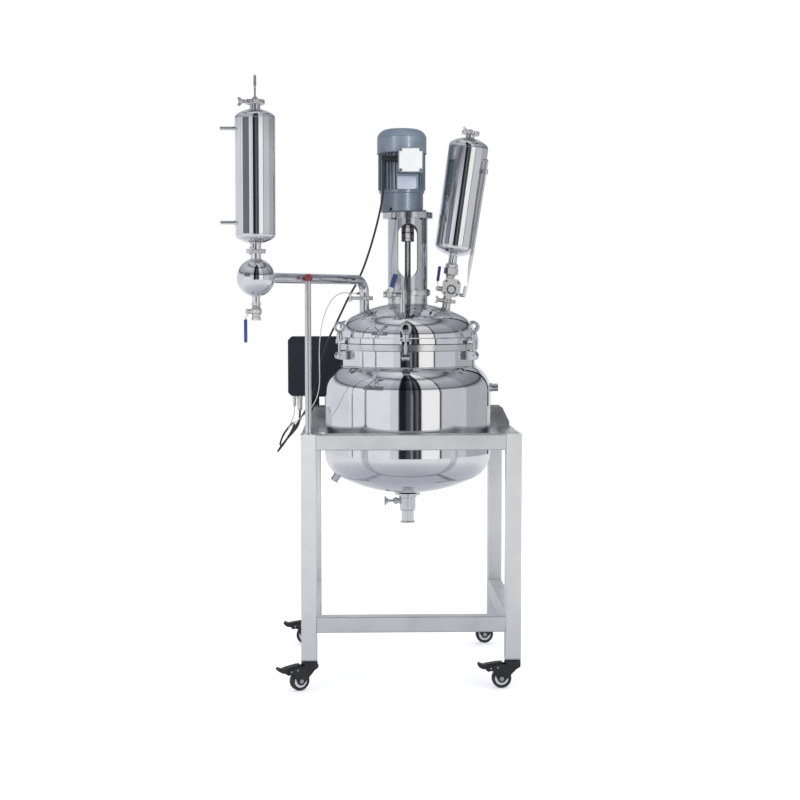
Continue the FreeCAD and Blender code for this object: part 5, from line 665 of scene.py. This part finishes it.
# From the port below the vapour pipe, down in front of the box and up into its gland.
SENSOR_ROUTE = (
    (-172, -30, 1263), (-190, -30, 1263), (-211, -35, 1266),
    (-232, -48, 1262), (-252, -68, 1246), (-268, -98, 1220),
    (-281, -134, 1184), (-290, -165, 1138), (-294, -184, 1084),
    (-293, -192, 1028), (-292, -188, 974), (-299, -168, 930),
    (-315, -132, 896), (-331.7, -94.5, 873.9), (-347.8, -54.7, 857.1),
    (-363.2, -13.2, 843.1), (-377.7, 28.6, 830), (-390.8, 71.6, 817.1),
    (-401.3, 115.2, 805.1), (-408, 160, 796), (-410, 204, 796),
    (-401, 229, 816), (-391.5, 236, 842), (-391.5, 236, 866),
)
CORDS = (
    Cord("cable_run", "motor_cable", MOTOR_ROUTE, 3.5, 1.705, SHEATH, "cable_rubber", "medium"),
    Cord("lead_run", "sensor_lead", SENSOR_ROUTE, 1.5, 0.966, PALE_SHEATH, "lead_sheath", "limp"),
)


def circle(radius: float, height: float, matrix: Matrix, steps: int = 64) -> list[Vector]:
    """Points round a circle about the Z axis of a frame.

    Args:
        radius: radius of the circle.
        height: height along the frame's Z axis.
        matrix: the frame.
        steps: number of points.

    Returns:
        The points in the row frame.
    """
    angles = (math.tau * step / steps for step in range(steps))
    return [
        matrix @ (Vector((radius * math.cos(a), radius * math.sin(a), height)) * MM)
        for a in angles
    ]


# The lid's dome: height of its top and radius of its sphere. A pipe's X and Y are taken
# at the feet's height, and from there it is followed to the dome in this many rounds.
DOME_TOP, DOME_CROWN, FEET_HEIGHT, ROUNDS = 1232.47, 410.4, 1196, 20


def dome_height(out: float) -> float:
    """Height of the lid's dome at a distance from its axis."""
    return DOME_TOP - (DOME_CROWN - math.sqrt(DOME_CROWN * DOME_CROWN - out * out))


def foot_loop(x: float, y: float, tilt: float, radius: float, steps: int) -> list[Vector]:
    """Loop where a pipe meets the lid's dome.

    Args:
        x: where the pipe's axis passes, along X.
        y: where the pipe's axis passes, along Y.
        tilt: lean of the pipe towards +X, in degrees.
        radius: radius of the pipe.
        steps: number of points.

    Returns:
        The loop in the row frame.
    """
    lean = math.radians(tilt)
    along = Vector((math.sin(lean), 0, math.cos(lean)))
    side = Vector((math.cos(lean), 0, -math.sin(lean)))
    loop = []
    for angle in (math.tau * step / steps for step in range(steps)):
        out = side * math.cos(angle) + Vector((0, math.sin(angle), 0))
        start = Vector((x, y, FEET_HEIGHT)) + out * radius
        reach = 0.0
        for _ in range(ROUNDS):
            place = start + along * reach
            reach -= (place.z - dome_height(math.hypot(place.x, place.y))) / along.z
        loop.append(spot(*(start + along * reach)))
    return loop


# X, Y, tilt, radius, bead and facets of each pipe's foot on the lid.
LID_FEET = (
    (-146, -30, 0, 16.3, 1.6, 48),
    (-22, -150, 0, 8.8, 1.2, 48),
    (126, 0, 8, 14.8, 1.6, 48),
    (0, 0, 0, 66.8, 2.0, 96),
)
# Frame, radius, height, bead and facets of the jacket's neck and of its upper nozzle.
JACKET_RINGS = (
    (AT_AXIS, 228.9, 1021.4, 2.2, 192),
    (AT_AXIS @ shift(0, 0, 946) @ TO_RIGHT, 14.9, 281.0, 1.3, 64),
)
# From the ball towards the lid, 330 across and 479 inward.
BALL_TO_LID = BALL @ turn(math.degrees(math.atan2(479, 330)), "Z") @ TO_RIGHT
# Frame, radius, height, bead and facets on the condenser, the ball and the dosing tank.
DRUM_RINGS = (
    (BALL, 60.3, 129.8, 0.7, 96),
    (BALL, 60.3, 475.2, 0.7, 96),
    (BALL, 16.5, 102.2, 1.6, 64),
    (BALL, 16.5, 502.8, 1.6, 64),
    (BALL, 16.6, 55.1, 1.6, 64),
    (BALL, 12.6, -56.1, 1.3, 64),
    (BALL_TO_LID, 16.6, 55.1, 1.6, 64),
    (DOSING, 66.3, 228.9, 0.7, 96),
    (DOSING, 66.3, 557.1, 0.7, 96),
    (DOSING, 15.0, 194.8, 1.6, 64),
    (DOSING, 15.0, 591.2, 1.6, 64),
)


@dataclass(frozen=True)
class Welds:
    """Ground weld beads where the pipes, heads and rails join."""

    tube_line: float = 325.0
    rail_end: float = 300.0
    top_rails: float = 792.0
    low_rails: float = 210.0
    frame_bead: float = 0.9

    def rounds(self) -> None:
        """Beads on the lid and the jacket, then on the two drums and the ball."""
        vessel, drums = Piece("vessel_weld_beads"), Piece("drum_weld_beads")
        for x, y, tilt, radius, bead, steps in LID_FEET:
            vessel.bead(foot_loop(x, y, tilt, radius, steps), bead)
        for beads, rings in ((vessel, JACKET_RINGS), (drums, DRUM_RINGS)):
            for frame, radius, height, bead, steps in rings:
                beads.bead(circle(radius, height, frame, steps), bead)
            beads.done(SATIN, STAND, "satin_steel")

    def frame(self) -> None:
        """Beads round the ends of the rails. There is no lower rail at the back."""
        beads = Piece("frame_weld_beads")
        line, end = self.tube_line, self.rail_end
        for height, rows in ((self.top_rails, (-line, line)), (self.low_rails, (-line,))):
            for row in rows:
                for side in (-end, end):
                    self.square(beads, lambda a, b: spot(side, row + a, height + b))
            for row in (-line, line):
                for side in (-end, end):
                    self.square(beads, lambda a, b: spot(row + a, side, height + b))
        beads.done(SATIN, STAND, "satin_steel")

    def square(self, beads: Piece, place: Callable[[float, float], Vector]) -> None:
        """Adds one bead round a square tube's end.

        Args:
            beads: the piece that it joins.
            place: turns the offsets across and up the tube's end into a point.
        """
        half, flat, bulge = 24.9, 21.0, 23.8
        loop = []
        for a, b in ((-1, -1), (1, -1), (1, 1), (-1, 1)):
            upright, level = (a * half, b * flat), (a * flat, b * half)
            first, last = (upright, level) if a * b > 0 else (level, upright)
            loop += [place(*first), place(a * bulge, b * bulge), place(*last)]
        beads.bead(loop, self.frame_bead, 6)

    def build(self) -> None:
        """Makes all the beads."""
        self.rounds()
        self.frame()


# X, Y and heading in degrees of each caster, trailing as the photograph shows.
CASTER_SPOTS = {
    Corner.FRONT_LEFT: (-325, -325, 207),
    Corner.FRONT_RIGHT: (325, -325, 180),
    Corner.BACK_LEFT: (-325, 325, 180),
    Corner.BACK_RIGHT: (325, 325, 183),
}


@dataclass(frozen=True)
class CasterTrim:
    """Pale hub rings, bright axle caps and rivet heads of one caster."""

    corner: Corner
    # Places along the trail and above the floor, then half sections from the wheel's middle.
    axle: Pair = (35.0, 31.5)
    rivets: Outline = ((70, 65), (48, 68))
    hub: Outline = (
        (12.2, 7.5), (12.2, 9.6), (13.0, 10.6), (20.6, 10.6), (21.6, 9.8), (21.6, 7.5)
    )
    cap: Outline = ((0, 18.7), (4.8, 18.5), (6.6, 17.9), (7.2, 17.2), (7.2, 16.6))
    head: Outline = ((0, 18.1), (1.9, 17.8), (3.1, 16.9), (3.3, 15.7))

    def build(self) -> None:
        """Makes the trim on both sides of the caster."""
        x, y, heading = CASTER_SPOTS[self.corner]
        caster = AT_AXIS @ shift(x, y, 0) @ turn(heading, "Z")
        name = self.corner.value
        rings = Piece(f"hub_rings_{name}")
        bright = Piece(f"axle_caps_{name}")
        rivets = Piece(f"fork_rivets_{name}")
        along, high = self.axle
        for way in Facing:
            axle = caster @ faced(along, 0, high, way)
            rings.take(Piece("ring").turned(self.hub, 64, closed=True).placed(axle))
            bright.take(Piece("cap").turned(self.cap, 40).placed(axle))
            for trail, height in self.rivets:
                head = Piece("rivet").turned(self.head, 24)
                rivets.take(head.placed(caster @ faced(trail, 0, height, way)))
        rings.done(PALE_NYLON, f"wheel_{name}", "wheel_plastic")
        bright.done(ZINC, f"fork_{name}", "zinc_plate")
        rivets.done(ZINC, f"fork_{name}", "zinc_plate")


@dataclass(frozen=True)
class Grip:
    """A dipped sleeve on a valve's lever."""

    name: str
    finish: Coat
    body: str
    slot: str
    out: float
    low: float
    high: float
    frame: Matrix

    def build(self) -> None:
        """Makes the sleeve, which is a little longer than the blade in it."""
        width, depth, spare, soft = 10.0, 16.8, 5.0, 3.9
        sleeve = Piece(self.name).block((width, depth, self.high - self.low + spare), soft, 5)
        sleeve.placed(self.frame @ shift(self.out, 0, (self.low + self.high) / 2))
        sleeve.done(self.finish, self.body, self.slot)


# The vent valve's frame: a quarter turn about its own axis, then 197 degrees about Y.
VENT = Matrix.Translation(spot(-65, -150, 1259)) @ turn(197, "Y") @ turn(90, "Z")
GRIPS = (
    Grip(
        "ball_drain_grip", BLUE_VINYL, "ball_drain_lever", "blue_grip",
        -32.1, -92, -26, Matrix.Translation(spot(-476, -509, 1206)),
    ),
    Grip(
        "dosing_grip", NAVY_VINYL, "dosing_lever", "navy_grip",
        -40.1, 26, 72, DOSING @ shift(0, 0, 80),
    ),
    Grip("vent_grip", DIM_VINYL, "vent_lever", "blue_grip", -29.1, -66, -26, VENT),
)


@dataclass(frozen=True)
class MotorTrim:
    """Bare plates, screws, the cable's gland cover and the cowl's rolled rim."""

    axis: float = -20.0
    lid: Triple = (6.0, -108.0, 1699.0)
    lid_half: float = 37.5
    lid_notch: float = 9.0
    # How far the screws stand in front of the plate, and from its middle lines.
    lid_screws: Triple = (1.6, 33.0, 33.0)
    front: Triple = (-6.0, -80.0, 1627.0)
    front_half: Pair = (31.0, 21.0)
    front_rivets: Triple = (0.9, 28.5, 18.5)
    cowl_turns: tuple[float, ...] = (20, 140, 220, 340)
    cowl_screw: Pair = (82.3, 1740.0)
    elbow: Triple = (-79.5, -84.0, 1690.0)
    rims: tuple[Triple, ...] = ((82.6, 1728.6, 1.5), (82.5, 1781.0, 0.5))

    def plates(self) -> None:
        """Bare plate on the terminal box's lid and a smaller one below it."""
        half, inner = self.lid_half, self.lid_half - self.lid_notch
        outline = (
            (-inner, -half), (inner, -half), (inner, -inner), (half, -inner),
            (half, inner), (inner, inner), (inner, half), (-inner, half),
            (-inner, inner), (-half, inner), (-half, -inner), (-inner, -inner),
        )
        cover = Piece("terminal_lid_plate").slab(outline, 1.2)
        cover.placed(AT_AXIS @ faced(*self.lid, Facing.FRONT))
        cover.done(WHITE_PLATE, STAND, "motor_paint")
        wide, high = self.front_half
        corners = ((-wide, -high), (wide, -high), (wide, high), (-wide, high))
        small = Piece("motor_front_plate").slab(corners, 1.0)
        small.placed(AT_AXIS @ faced(*self.front, Facing.FRONT))
        small.done(PALE_PLATE, STAND, "motor_paint")

    def screws(self) -> None:
        """Pan heads on the lid, rivets on the plate and screws of the cowl."""
        heads = Piece("motor_screw_heads")
        for (x, y, z), (stand, wide, high), size in (
            (self.lid, self.lid_screws, (4.6, 2.6)),
            (self.front, self.front_rivets, (1.4, 0.8)),
        ):
            for across in (-wide, wide):
                for up in (-high, high):
                    place = AT_AXIS @ faced(x + across, y - stand, z + up, Facing.FRONT)
                    self.pan(heads, place, *size)
        out, height = self.cowl_screw
        for angle in self.cowl_turns:
            skirt = AT_AXIS @ shift(self.axis, 0, height) @ turn(angle, "Z")
            self.pan(heads, skirt @ shift(out, 0, 0) @ TO_RIGHT, 3.2, 1.8)
        heads.done(ZINC, STAND, "zinc_plate")

    def pan(self, heads: Piece, place: Matrix, radius: float, height: float) -> None:
        """Adds one pan head with a round recess."""
        recess, sunk = radius * 0.28, height * 0.62
        side = (
            (recess, sunk),
            (radius * 0.36, height),
            (radius * 0.72, height * 0.92),
            (radius, height * 0.35),
            (radius, -0.6),
        )
        head = Piece("pan").turned(side, 24)
        head.take(Piece("recess").turned(((0, sunk), (recess, sunk)), 24))
        heads.take(head.placed(place))

    def entry(self) -> None:
        """Black nylon cover over the cable's elbow at the terminal box."""
        x, y, z = self.elbow
        sleeve = (
            (5.0, -0.6), (6.8, -0.6), (7.5, 0.2), (7.5, 6), (9.6, 7), (9.6, 25), (8.6, 26), (0, 26)
        )
        arm = (
            (0, -9.6), (8.6, -9.6), (9.6, -8.6), (9.6, 34), (11.5, 35), (11.5, 43.6), (0, 43.6)
        )
        cover = Piece("terminal_gland_cover").turned(sleeve, 40).placed(AT_AXIS @ shift(x, y, z))
        level = AT_AXIS @ shift(x, y, z + 16) @ TO_RIGHT
        cover.take(Piece("arm").turned(arm, 40).placed(level))
        cover.done(NYLON, STAND, "gland_plastic")

    def rim(self) -> None:
        """Rolled rim at the cowl's skirt, and the bead at its shoulder."""
        rim = Piece("cowl_rim")
        for radius, height, bead in self.rims:
            rim.bead(circle(radius, height, AT_AXIS @ shift(self.axis, 0, 0), 128), bead)
        rim.done(ENAMEL, STAND, "cowl_paint")

    def build(self) -> None:
        """Makes all the motor's trim."""
        self.plates()
        self.screws()
        self.rim()
        self.entry()


@dataclass(frozen=True)
class BoxTrim:
    """Window, hinges, latch, gasket and knob pointer on the control box's back."""

    left: float = -413.0
    right: float = -229.0
    bottom: float = 905.0
    top: float = 1113.0
    back: float = 307.0
    middle: float = -321.0
    window: float = 1054.8
    hinges: Pair = (950.0, 1068.0)
    latch: float = 1009.0
    pointer: float = 986.6

    def fittings(self) -> None:
        """Makes the window, the hinges, the latch and the knob's pointer."""
        glass = Piece("box_window_glass").block((86, 1.6, 36), 0.7)
        glass.placed(AT_AXIS @ shift(self.middle, self.back + 2.2, self.window))
        glass.done(DARK_GLASS, STAND, "box_paint")
        pins = Piece("box_hinges")
        barrel = ((0, -13), (2.6, -13), (3.0, -12.4), (3.0, 12.4), (2.6, 13), (0, 13))
        for height in self.hinges:
            pin = Piece("pin").turned(barrel, 24)
            pins.take(pin.placed(AT_AXIS @ shift(self.left + 4.6, self.back - 1.0, height)))
        pins.done(ZINC, STAND, "zinc_plate")
        latch = Piece("box_latch").turned(((0, 3.4), (5.2, 3.4), (6.4, 2.6), (6.4, 0)), 32)
        latch.placed(AT_AXIS @ faced(self.right - 18, self.back - 0.2, self.latch, Facing.BACK))
        latch.done(ZINC, STAND, "zinc_plate")
        line = Piece("knob_pointer").block((1.2, 0.6, 8), 0.25, 2)
        line.placed(AT_AXIS @ shift(self.middle, self.back + 16.7, self.pointer))
        line.done(WHITE_PLATE, "control_knob", "knob_plastic")

    def gasket(self) -> None:
        """Makes the gasket round the door, with cut corners."""
        seam = Piece("box_door_gasket")
        corner, inset = 13.5, 4.4
        low, high = self.bottom + inset, self.top - inset
        west, east = self.left + inset, self.right - inset
        outline = (
            (west + corner, low), (east - corner, low), (east, low + corner),
            (east, high - corner), (east - corner, high), (west + corner, high),
            (west, high - corner), (west, low + corner),
        )
        loop = [
            spot(ax + (bx - ax) * share, self.back - 3.8, az + (bz - az) * share)
            for (ax, az), (bx, bz) in zip(outline, outline[1:] + outline[:1])
            for share in (0.04, 0.35, 0.65, 0.96)
        ]
        seam.bead(loop, 1.1, 6)
        seam.done(GASKET, STAND, "gasket_rubber")

    def build(self) -> None:
        """Makes all the box's trim."""
        self.fittings()
        self.gasket()


@dataclass(frozen=True)
class PipeTrim:
    """Red clip on the post and the elastic star of the coupling."""

    clip: Triple = (-323.0, -347.0, 1310.0)
    clip_size: Triple = (19.0, 12.0, 22.0)
    star: Outline = (
        (12, 1462.6), (20.8, 1462.6), (21.6, 1463.4), (21.6, 1466.6), (20.8, 1467.4), (12, 1467.4)
    )

    def build(self) -> None:
        """Makes the clip's cover and the star."""
        cover = Piece("post_clip_cover").block(self.clip_size, 3.0)
        cover.placed(AT_AXIS @ shift(*self.clip))
        cover.done(RED_VINYL, STAND, "satin_steel")
        star = Piece("coupling_star").turned(self.star, 64).placed(AT_AXIS)
        star.done(GASKET, "stirrer", "coupling_steel")


@dataclass(frozen=True)
class ValveTrim:
    """Cover ring and socket screws on the dosing valve's two faces."""

    middle: Triple = (8.0, 0.0, 88.0)
    face: float = 24.0
    drop: float = 6.0
    screw: float = 20.0
    ring: Outline = (
        (11.0, -0.6), (11.0, 1.2), (11.8, 2.0), (15.4, 2.0), (16.6, 0.8), (16.6, -0.6)
    )
    head: Outline = ((0, 1.4), (1.7, 1.4), (1.9, 3.2), (3.2, 3.2), (3.7, 2.6), (3.7, -0.6))

    def build(self) -> None:
        """Makes the rings and the screws."""
        rings = Piece("dosing_valve_rings")
        screws = Piece("dosing_valve_screws")
        valve = DOSING @ shift(*self.middle)
        for way in Facing:
            y = self.face * way.value
            ring = Piece("ring").turned(self.ring, 48, closed=True)
            rings.take(ring.placed(valve @ faced(0, y, -self.drop, way)))
            for x in (-self.screw, self.screw):
                for z in (-self.screw, self.screw):
                    head = Piece("screw").turned(self.head, 28)
                    screws.take(head.placed(valve @ faced(x, y, z, way)))
        rings.done(SATIN, STAND, "satin_steel")
        screws.done(ZINC, STAND, "zinc_plate")


# Where each panel of the studio ends, in degrees round from the camera, and its tone.
PANELS = (
    (-84.0, "DBDEE2"), (-82.3, "101114"), (-25.0, "DEE1E5"), (-13.0, "CDD0D5"),
    (-3.0, "1E1F24"), (3.0, "43444B"), (6.5, "7C7E85"), (10.0, "26272C"),
    (14.0, "5E5F65"), (18.0, "1E1F23"), (43.0, "F2F2F0"), (45.2, "131417"),
    (85.0, "C2C4C8"), (140.0, "A9ABB0"), (146.0, "17181B"), (270.0, "D2D5D9"),
)
# Tone of the studio at shares of its height.
TIERS = (
    (0.0, "FFFFFF"), (0.38, "FFFFFF"), (0.44, "B4B5BA"), (0.475, "66676D"),
    (0.52, "B9BABF"), (0.64, "C8C9CE"), (0.80, "E4E4E7"), (0.86, "C6C7CB"),
    (0.895, "6E6F75"), (0.93, "D6D7DA"), (1.0, "FFFFFF"),
)
# Tone of the film at shares of its spread, from under the reactor outwards. The grey under the
# reactor is painted shade of the reactor on the floor, seen only in reflections.
SHADED_FILM_TONES = ((0.0, "B4B6C2"), (0.4, "CACCD4"), (1.0, "EAEBEF"))
# Where the lamps point, in metres in the row frame.
AIM = (0.1, 0.1, 1.0)


@dataclass(frozen=True)
class Lamp:
    """One soft rectangular lamp, set in metres, that lights some finishes only."""

    name: str
    place: Triple
    size: Pair
    power: float
    lit: tuple[Metal | Coat, ...]

    def hang(self) -> None:
        """Hangs the lamp and links it to what it lights."""
        light = bpy.data.lights.new(self.name, "AREA")
        light.shape = "RECTANGLE"
        light.size, light.size_y = self.size
        light.energy = self.power
        obj = link(self.name, light)
        obj.location = self.place
        aim = Vector(AIM) - Vector(self.place)
        obj.rotation_euler = aim.to_track_quat("-Z", "Y").to_euler()
        group = bpy.data.collections.new(f"{self.name}_lights")
        for target in nodes_with(*self.lit):
            group.objects.link(target)
        obj.light_linking.receiver_collection = group


PAINTED = (ENAMEL, SHADED_GEARBOX_ENAMEL)
LAMPS = (
    Lamp("strip_left", (-2.7, -3.4, 1.9), (0.42, 2.4), 95, PAINTED),
    Lamp("strip_right", (2.3, -3.6, 1.9), (0.42, 2.4), 95, PAINTED),
    Lamp(
        "front_card", (-0.6, -5.7, 2.0), (3.0, 2.4), 60, (TUBE_UPRIGHT, SHADED_RAIL_TUBE, CAST, GROUND)
    ),
)


@dataclass(frozen=True)
class Studio:
    """Floor, panels, lights, world and camera. Sizes are in metres."""

    focal: float = 68.31
    eye: Triple = (-177.0, -5117.0, 1234.0)
    yaw: float = 1.69
    pitch: float = 3.69
    middle: Pair = (0.1, 0.1)
    reach: float = 6.0
    glow: float = 1.15
    spread: Pair = (0.5, 2.4)
    card_spot: Triple = (-1660.0, -1440.0, 1745.0)
    card_size: Pair = (1.12, 0.62)
    card_tone: str = "74767E"

    def glowing(self, name: str, base: str, tone: str, strength: float) -> Blank:
        """Makes a dull material that gives off light of its own."""
        material, shader, tree = blank_material(name)
        shader.inputs["Base Color"].default_value = linear(base)
        shader.inputs["Specular IOR Level"].default_value = 0.0
        shader.inputs["Emission Color"].default_value = linear(tone)
        shader.inputs["Emission Strength"].default_value = strength
        return material, shader, tree

    def stand(
        self, name: str, mesh: bmesh.types.BMesh, material: bpy.types.Material
    ) -> bpy.types.Object:
        """Turns a mesh into a piece of the studio."""
        data = bpy.data.meshes.new(name)
        mesh.to_mesh(data)
        mesh.free()
        data.materials.append(material)
        obj = link(name, data)
        return obj

    def glossy_only(self, obj: bpy.types.Object) -> None:
        """Hides a piece of the studio from all but reflections."""
        obj.visible_camera = False
        obj.visible_shadow = False
        obj.visible_diffuse = False
        obj.visible_transmission = False

    def sheet(
        self, name: str, low: float, base: str, strength: float
    ) -> tuple[bpy.types.Object, bpy.types.Node, bpy.types.NodeTree]:
        """Lays one wide sheet of dull paper."""
        half_side = 9.0
        mesh = bmesh.new()
        bmesh.ops.create_grid(mesh, x_segments=1, y_segments=1, size=half_side)
        bmesh.ops.translate(mesh, vec=(0, 0, low), verts=mesh.verts[:])
        material, shader, tree = self.glowing(f"{name}_paper", base, "F4F5FF", strength)
        shader.inputs["Roughness"].default_value = 0.9
        return self.stand(name, mesh, material), shader, tree

    def floor(self) -> None:
        """Lays a plain pale floor, and a greyer film over it that only reflections see; the film's
        grey under the reactor is painted shade.
        """
        self.sheet("studio_floor", -0.001, "FAFAFA", 0.35)
        film, shader, tree = self.sheet("studio_floor_film", -0.0005, "000000", 1.0)
        self.glossy_only(film)
        self.paint_film_shade(tree, shader)

    def paint_film_shade(self, tree: bpy.types.NodeTree, shader: bpy.types.Node) -> None:
        """Makes the film greyer under the reactor than in front of it, as painted shade."""
        place = add_node(tree, "ShaderNodeTexCoord").outputs["Object"]
        length = add_node(tree, "ShaderNodeVectorMath", {"operation": "LENGTH"}, {"Vector": place})
        near, far = self.spread
        spread = add_node(
            tree,
            "ShaderNodeMapRange",
            {"[From Min]": near, "[From Max]": far},
            {"Value": length.outputs["Value"]},
        )
        ramp = add_node(
            tree,
            "ShaderNodeValToRGB",
            {"stops": [(share, linear(tone)) for share, tone in SHADED_FILM_TONES]},
            {"Fac": spread.outputs["Result"]},
        )
        tree.links.new(ramp.outputs["Color"], shader.inputs["Emission Color"])

    def stops(self) -> list[tuple[float, Colour]]:
        """Turns the panels into ramp stops with crisp edges."""
        edge, full_turn, to_camera = 0.0012, 360.0, 0.25
        result = [(0.0, linear(PANELS[0][1]))]
        for (end, tone), (_, following) in zip(PANELS, PANELS[1:]):
            place = end / full_turn + to_camera
            result.append((place - edge, linear(tone)))
            result.append((place + edge, linear(following)))
        result.append((1.0, linear(PANELS[-1][1])))
        return result

    def dome(self) -> None:
        """Hangs a dome whose panels show only in reflections."""
        mesh = bmesh.new()
        bmesh.ops.create_uvsphere(mesh, u_segments=96, v_segments=48, radius=self.reach)
        bmesh.ops.translate(mesh, vec=(*self.middle, 0), verts=mesh.verts[:])
        material, shader, tree = self.glowing("dome_panels", "000000", "FFFFFF", self.glow)
        place = add_node(tree, "ShaderNodeTexCoord").outputs["Object"]
        around = add_node(
            tree, "ShaderNodeTexGradient", {"gradient_type": "RADIAL"}, {"Vector": place}
        )
        split = add_node(tree, "ShaderNodeSeparateXYZ", links={"Vector": place})
        height = add_node(
            tree,
            "ShaderNodeMapRange",
            {"[From Min]": 0.0, "[From Max]": self.reach},
            {"Value": split.outputs["Z"]},
        )
        panels = add_node(
            tree, "ShaderNodeValToRGB", {"stops": self.stops()}, {"Fac": around.outputs["Fac"]}
        )
        tiers = add_node(
            tree,
            "ShaderNodeValToRGB",
            {"stops": [(share, linear(tone)) for share, tone in TIERS]},
            {"Fac": height.outputs["Result"]},
        )
        both = add_node(
            tree,
            "ShaderNodeMix",
            {"data_type": "RGBA", "blend_type": "MULTIPLY", "[Factor]": 1.0},
        )
        # The mix node's names repeat for each kind of data: these are its two colours and
        # its colour result.
        first, second, result = both.inputs[6], both.inputs[7], both.outputs[2]
        tree.links.new(panels.outputs["Color"], first)
        tree.links.new(tiers.outputs["Color"], second)
        tree.links.new(result, shader.inputs["Emission Color"])
        self.glossy_only(self.stand("studio_dome", mesh, material))

    def card(self) -> None:
        """Stands up a plain card that shows only in reflections."""
        place = spot(*self.card_spot)
        x, y = self.middle
        mesh = bmesh.new()
        bmesh.ops.create_grid(mesh, x_segments=1, y_segments=1, size=0.5)
        facing = Vector((x - place.x, y - place.y, 0)).to_track_quat("Z", "Y").to_matrix()
        stretch = Matrix.Diagonal((*self.card_size, 1, 1))
        matrix = Matrix.Translation(place) @ facing.to_4x4() @ stretch
        bmesh.ops.transform(mesh, matrix=matrix, verts=mesh.verts[:])
        material, _, _ = self.glowing("studio_card_board", "000000", self.card_tone, 1.0)
        self.glossy_only(self.stand("studio_card", mesh, material))

    def world(self) -> None:
        """Fills the surroundings with even white light."""
        world = bpy.data.worlds.new("studio")
        bpy.context.scene.world = world
        world.use_nodes = True
        background = world.node_tree.nodes["Background"]
        background.inputs["Color"].default_value = linear("FFFFFF")
        background.inputs["Strength"].default_value = 1.0

    def camera(self) -> None:
        """Sets the camera where the photograph was taken."""
        data = bpy.data.cameras.new("camera")
        data.lens = self.focal
        data.sensor_width = 36.0
        data.clip_end = 100
        camera = link("camera", data)
        camera.location = spot(*self.eye)
        camera.rotation_euler = (math.radians(90 - self.pitch), 0.0, math.radians(-self.yaw))
        bpy.context.scene.camera = camera

    def build(self) -> None:
        """Puts up the whole studio."""
        self.world()
        self.floor()
        self.dome()
        self.card()
        self.camera()
        bpy.context.scene.view_settings.view_transform = "Standard"
        for lamp in LAMPS:
            lamp.hang()
        LOG.info("studio up")


def main() -> None:
    """Dresses the reactor, adds its pieces in order and puts up the studio."""
    logging.basicConfig(level=logging.INFO, format="%(name)s: %(message)s")
    dress_nodes()
    for cord in CORDS:
        cord.build()
    Welds().build()
    for corner in Corner:
        CasterTrim(corner).build()
    for grip in GRIPS:
        grip.build()
    MotorTrim().build()
    BoxTrim().build()
    PipeTrim().build()
    ValveTrim().build()
    Studio().build()


if __name__ == "__main__":
    main()
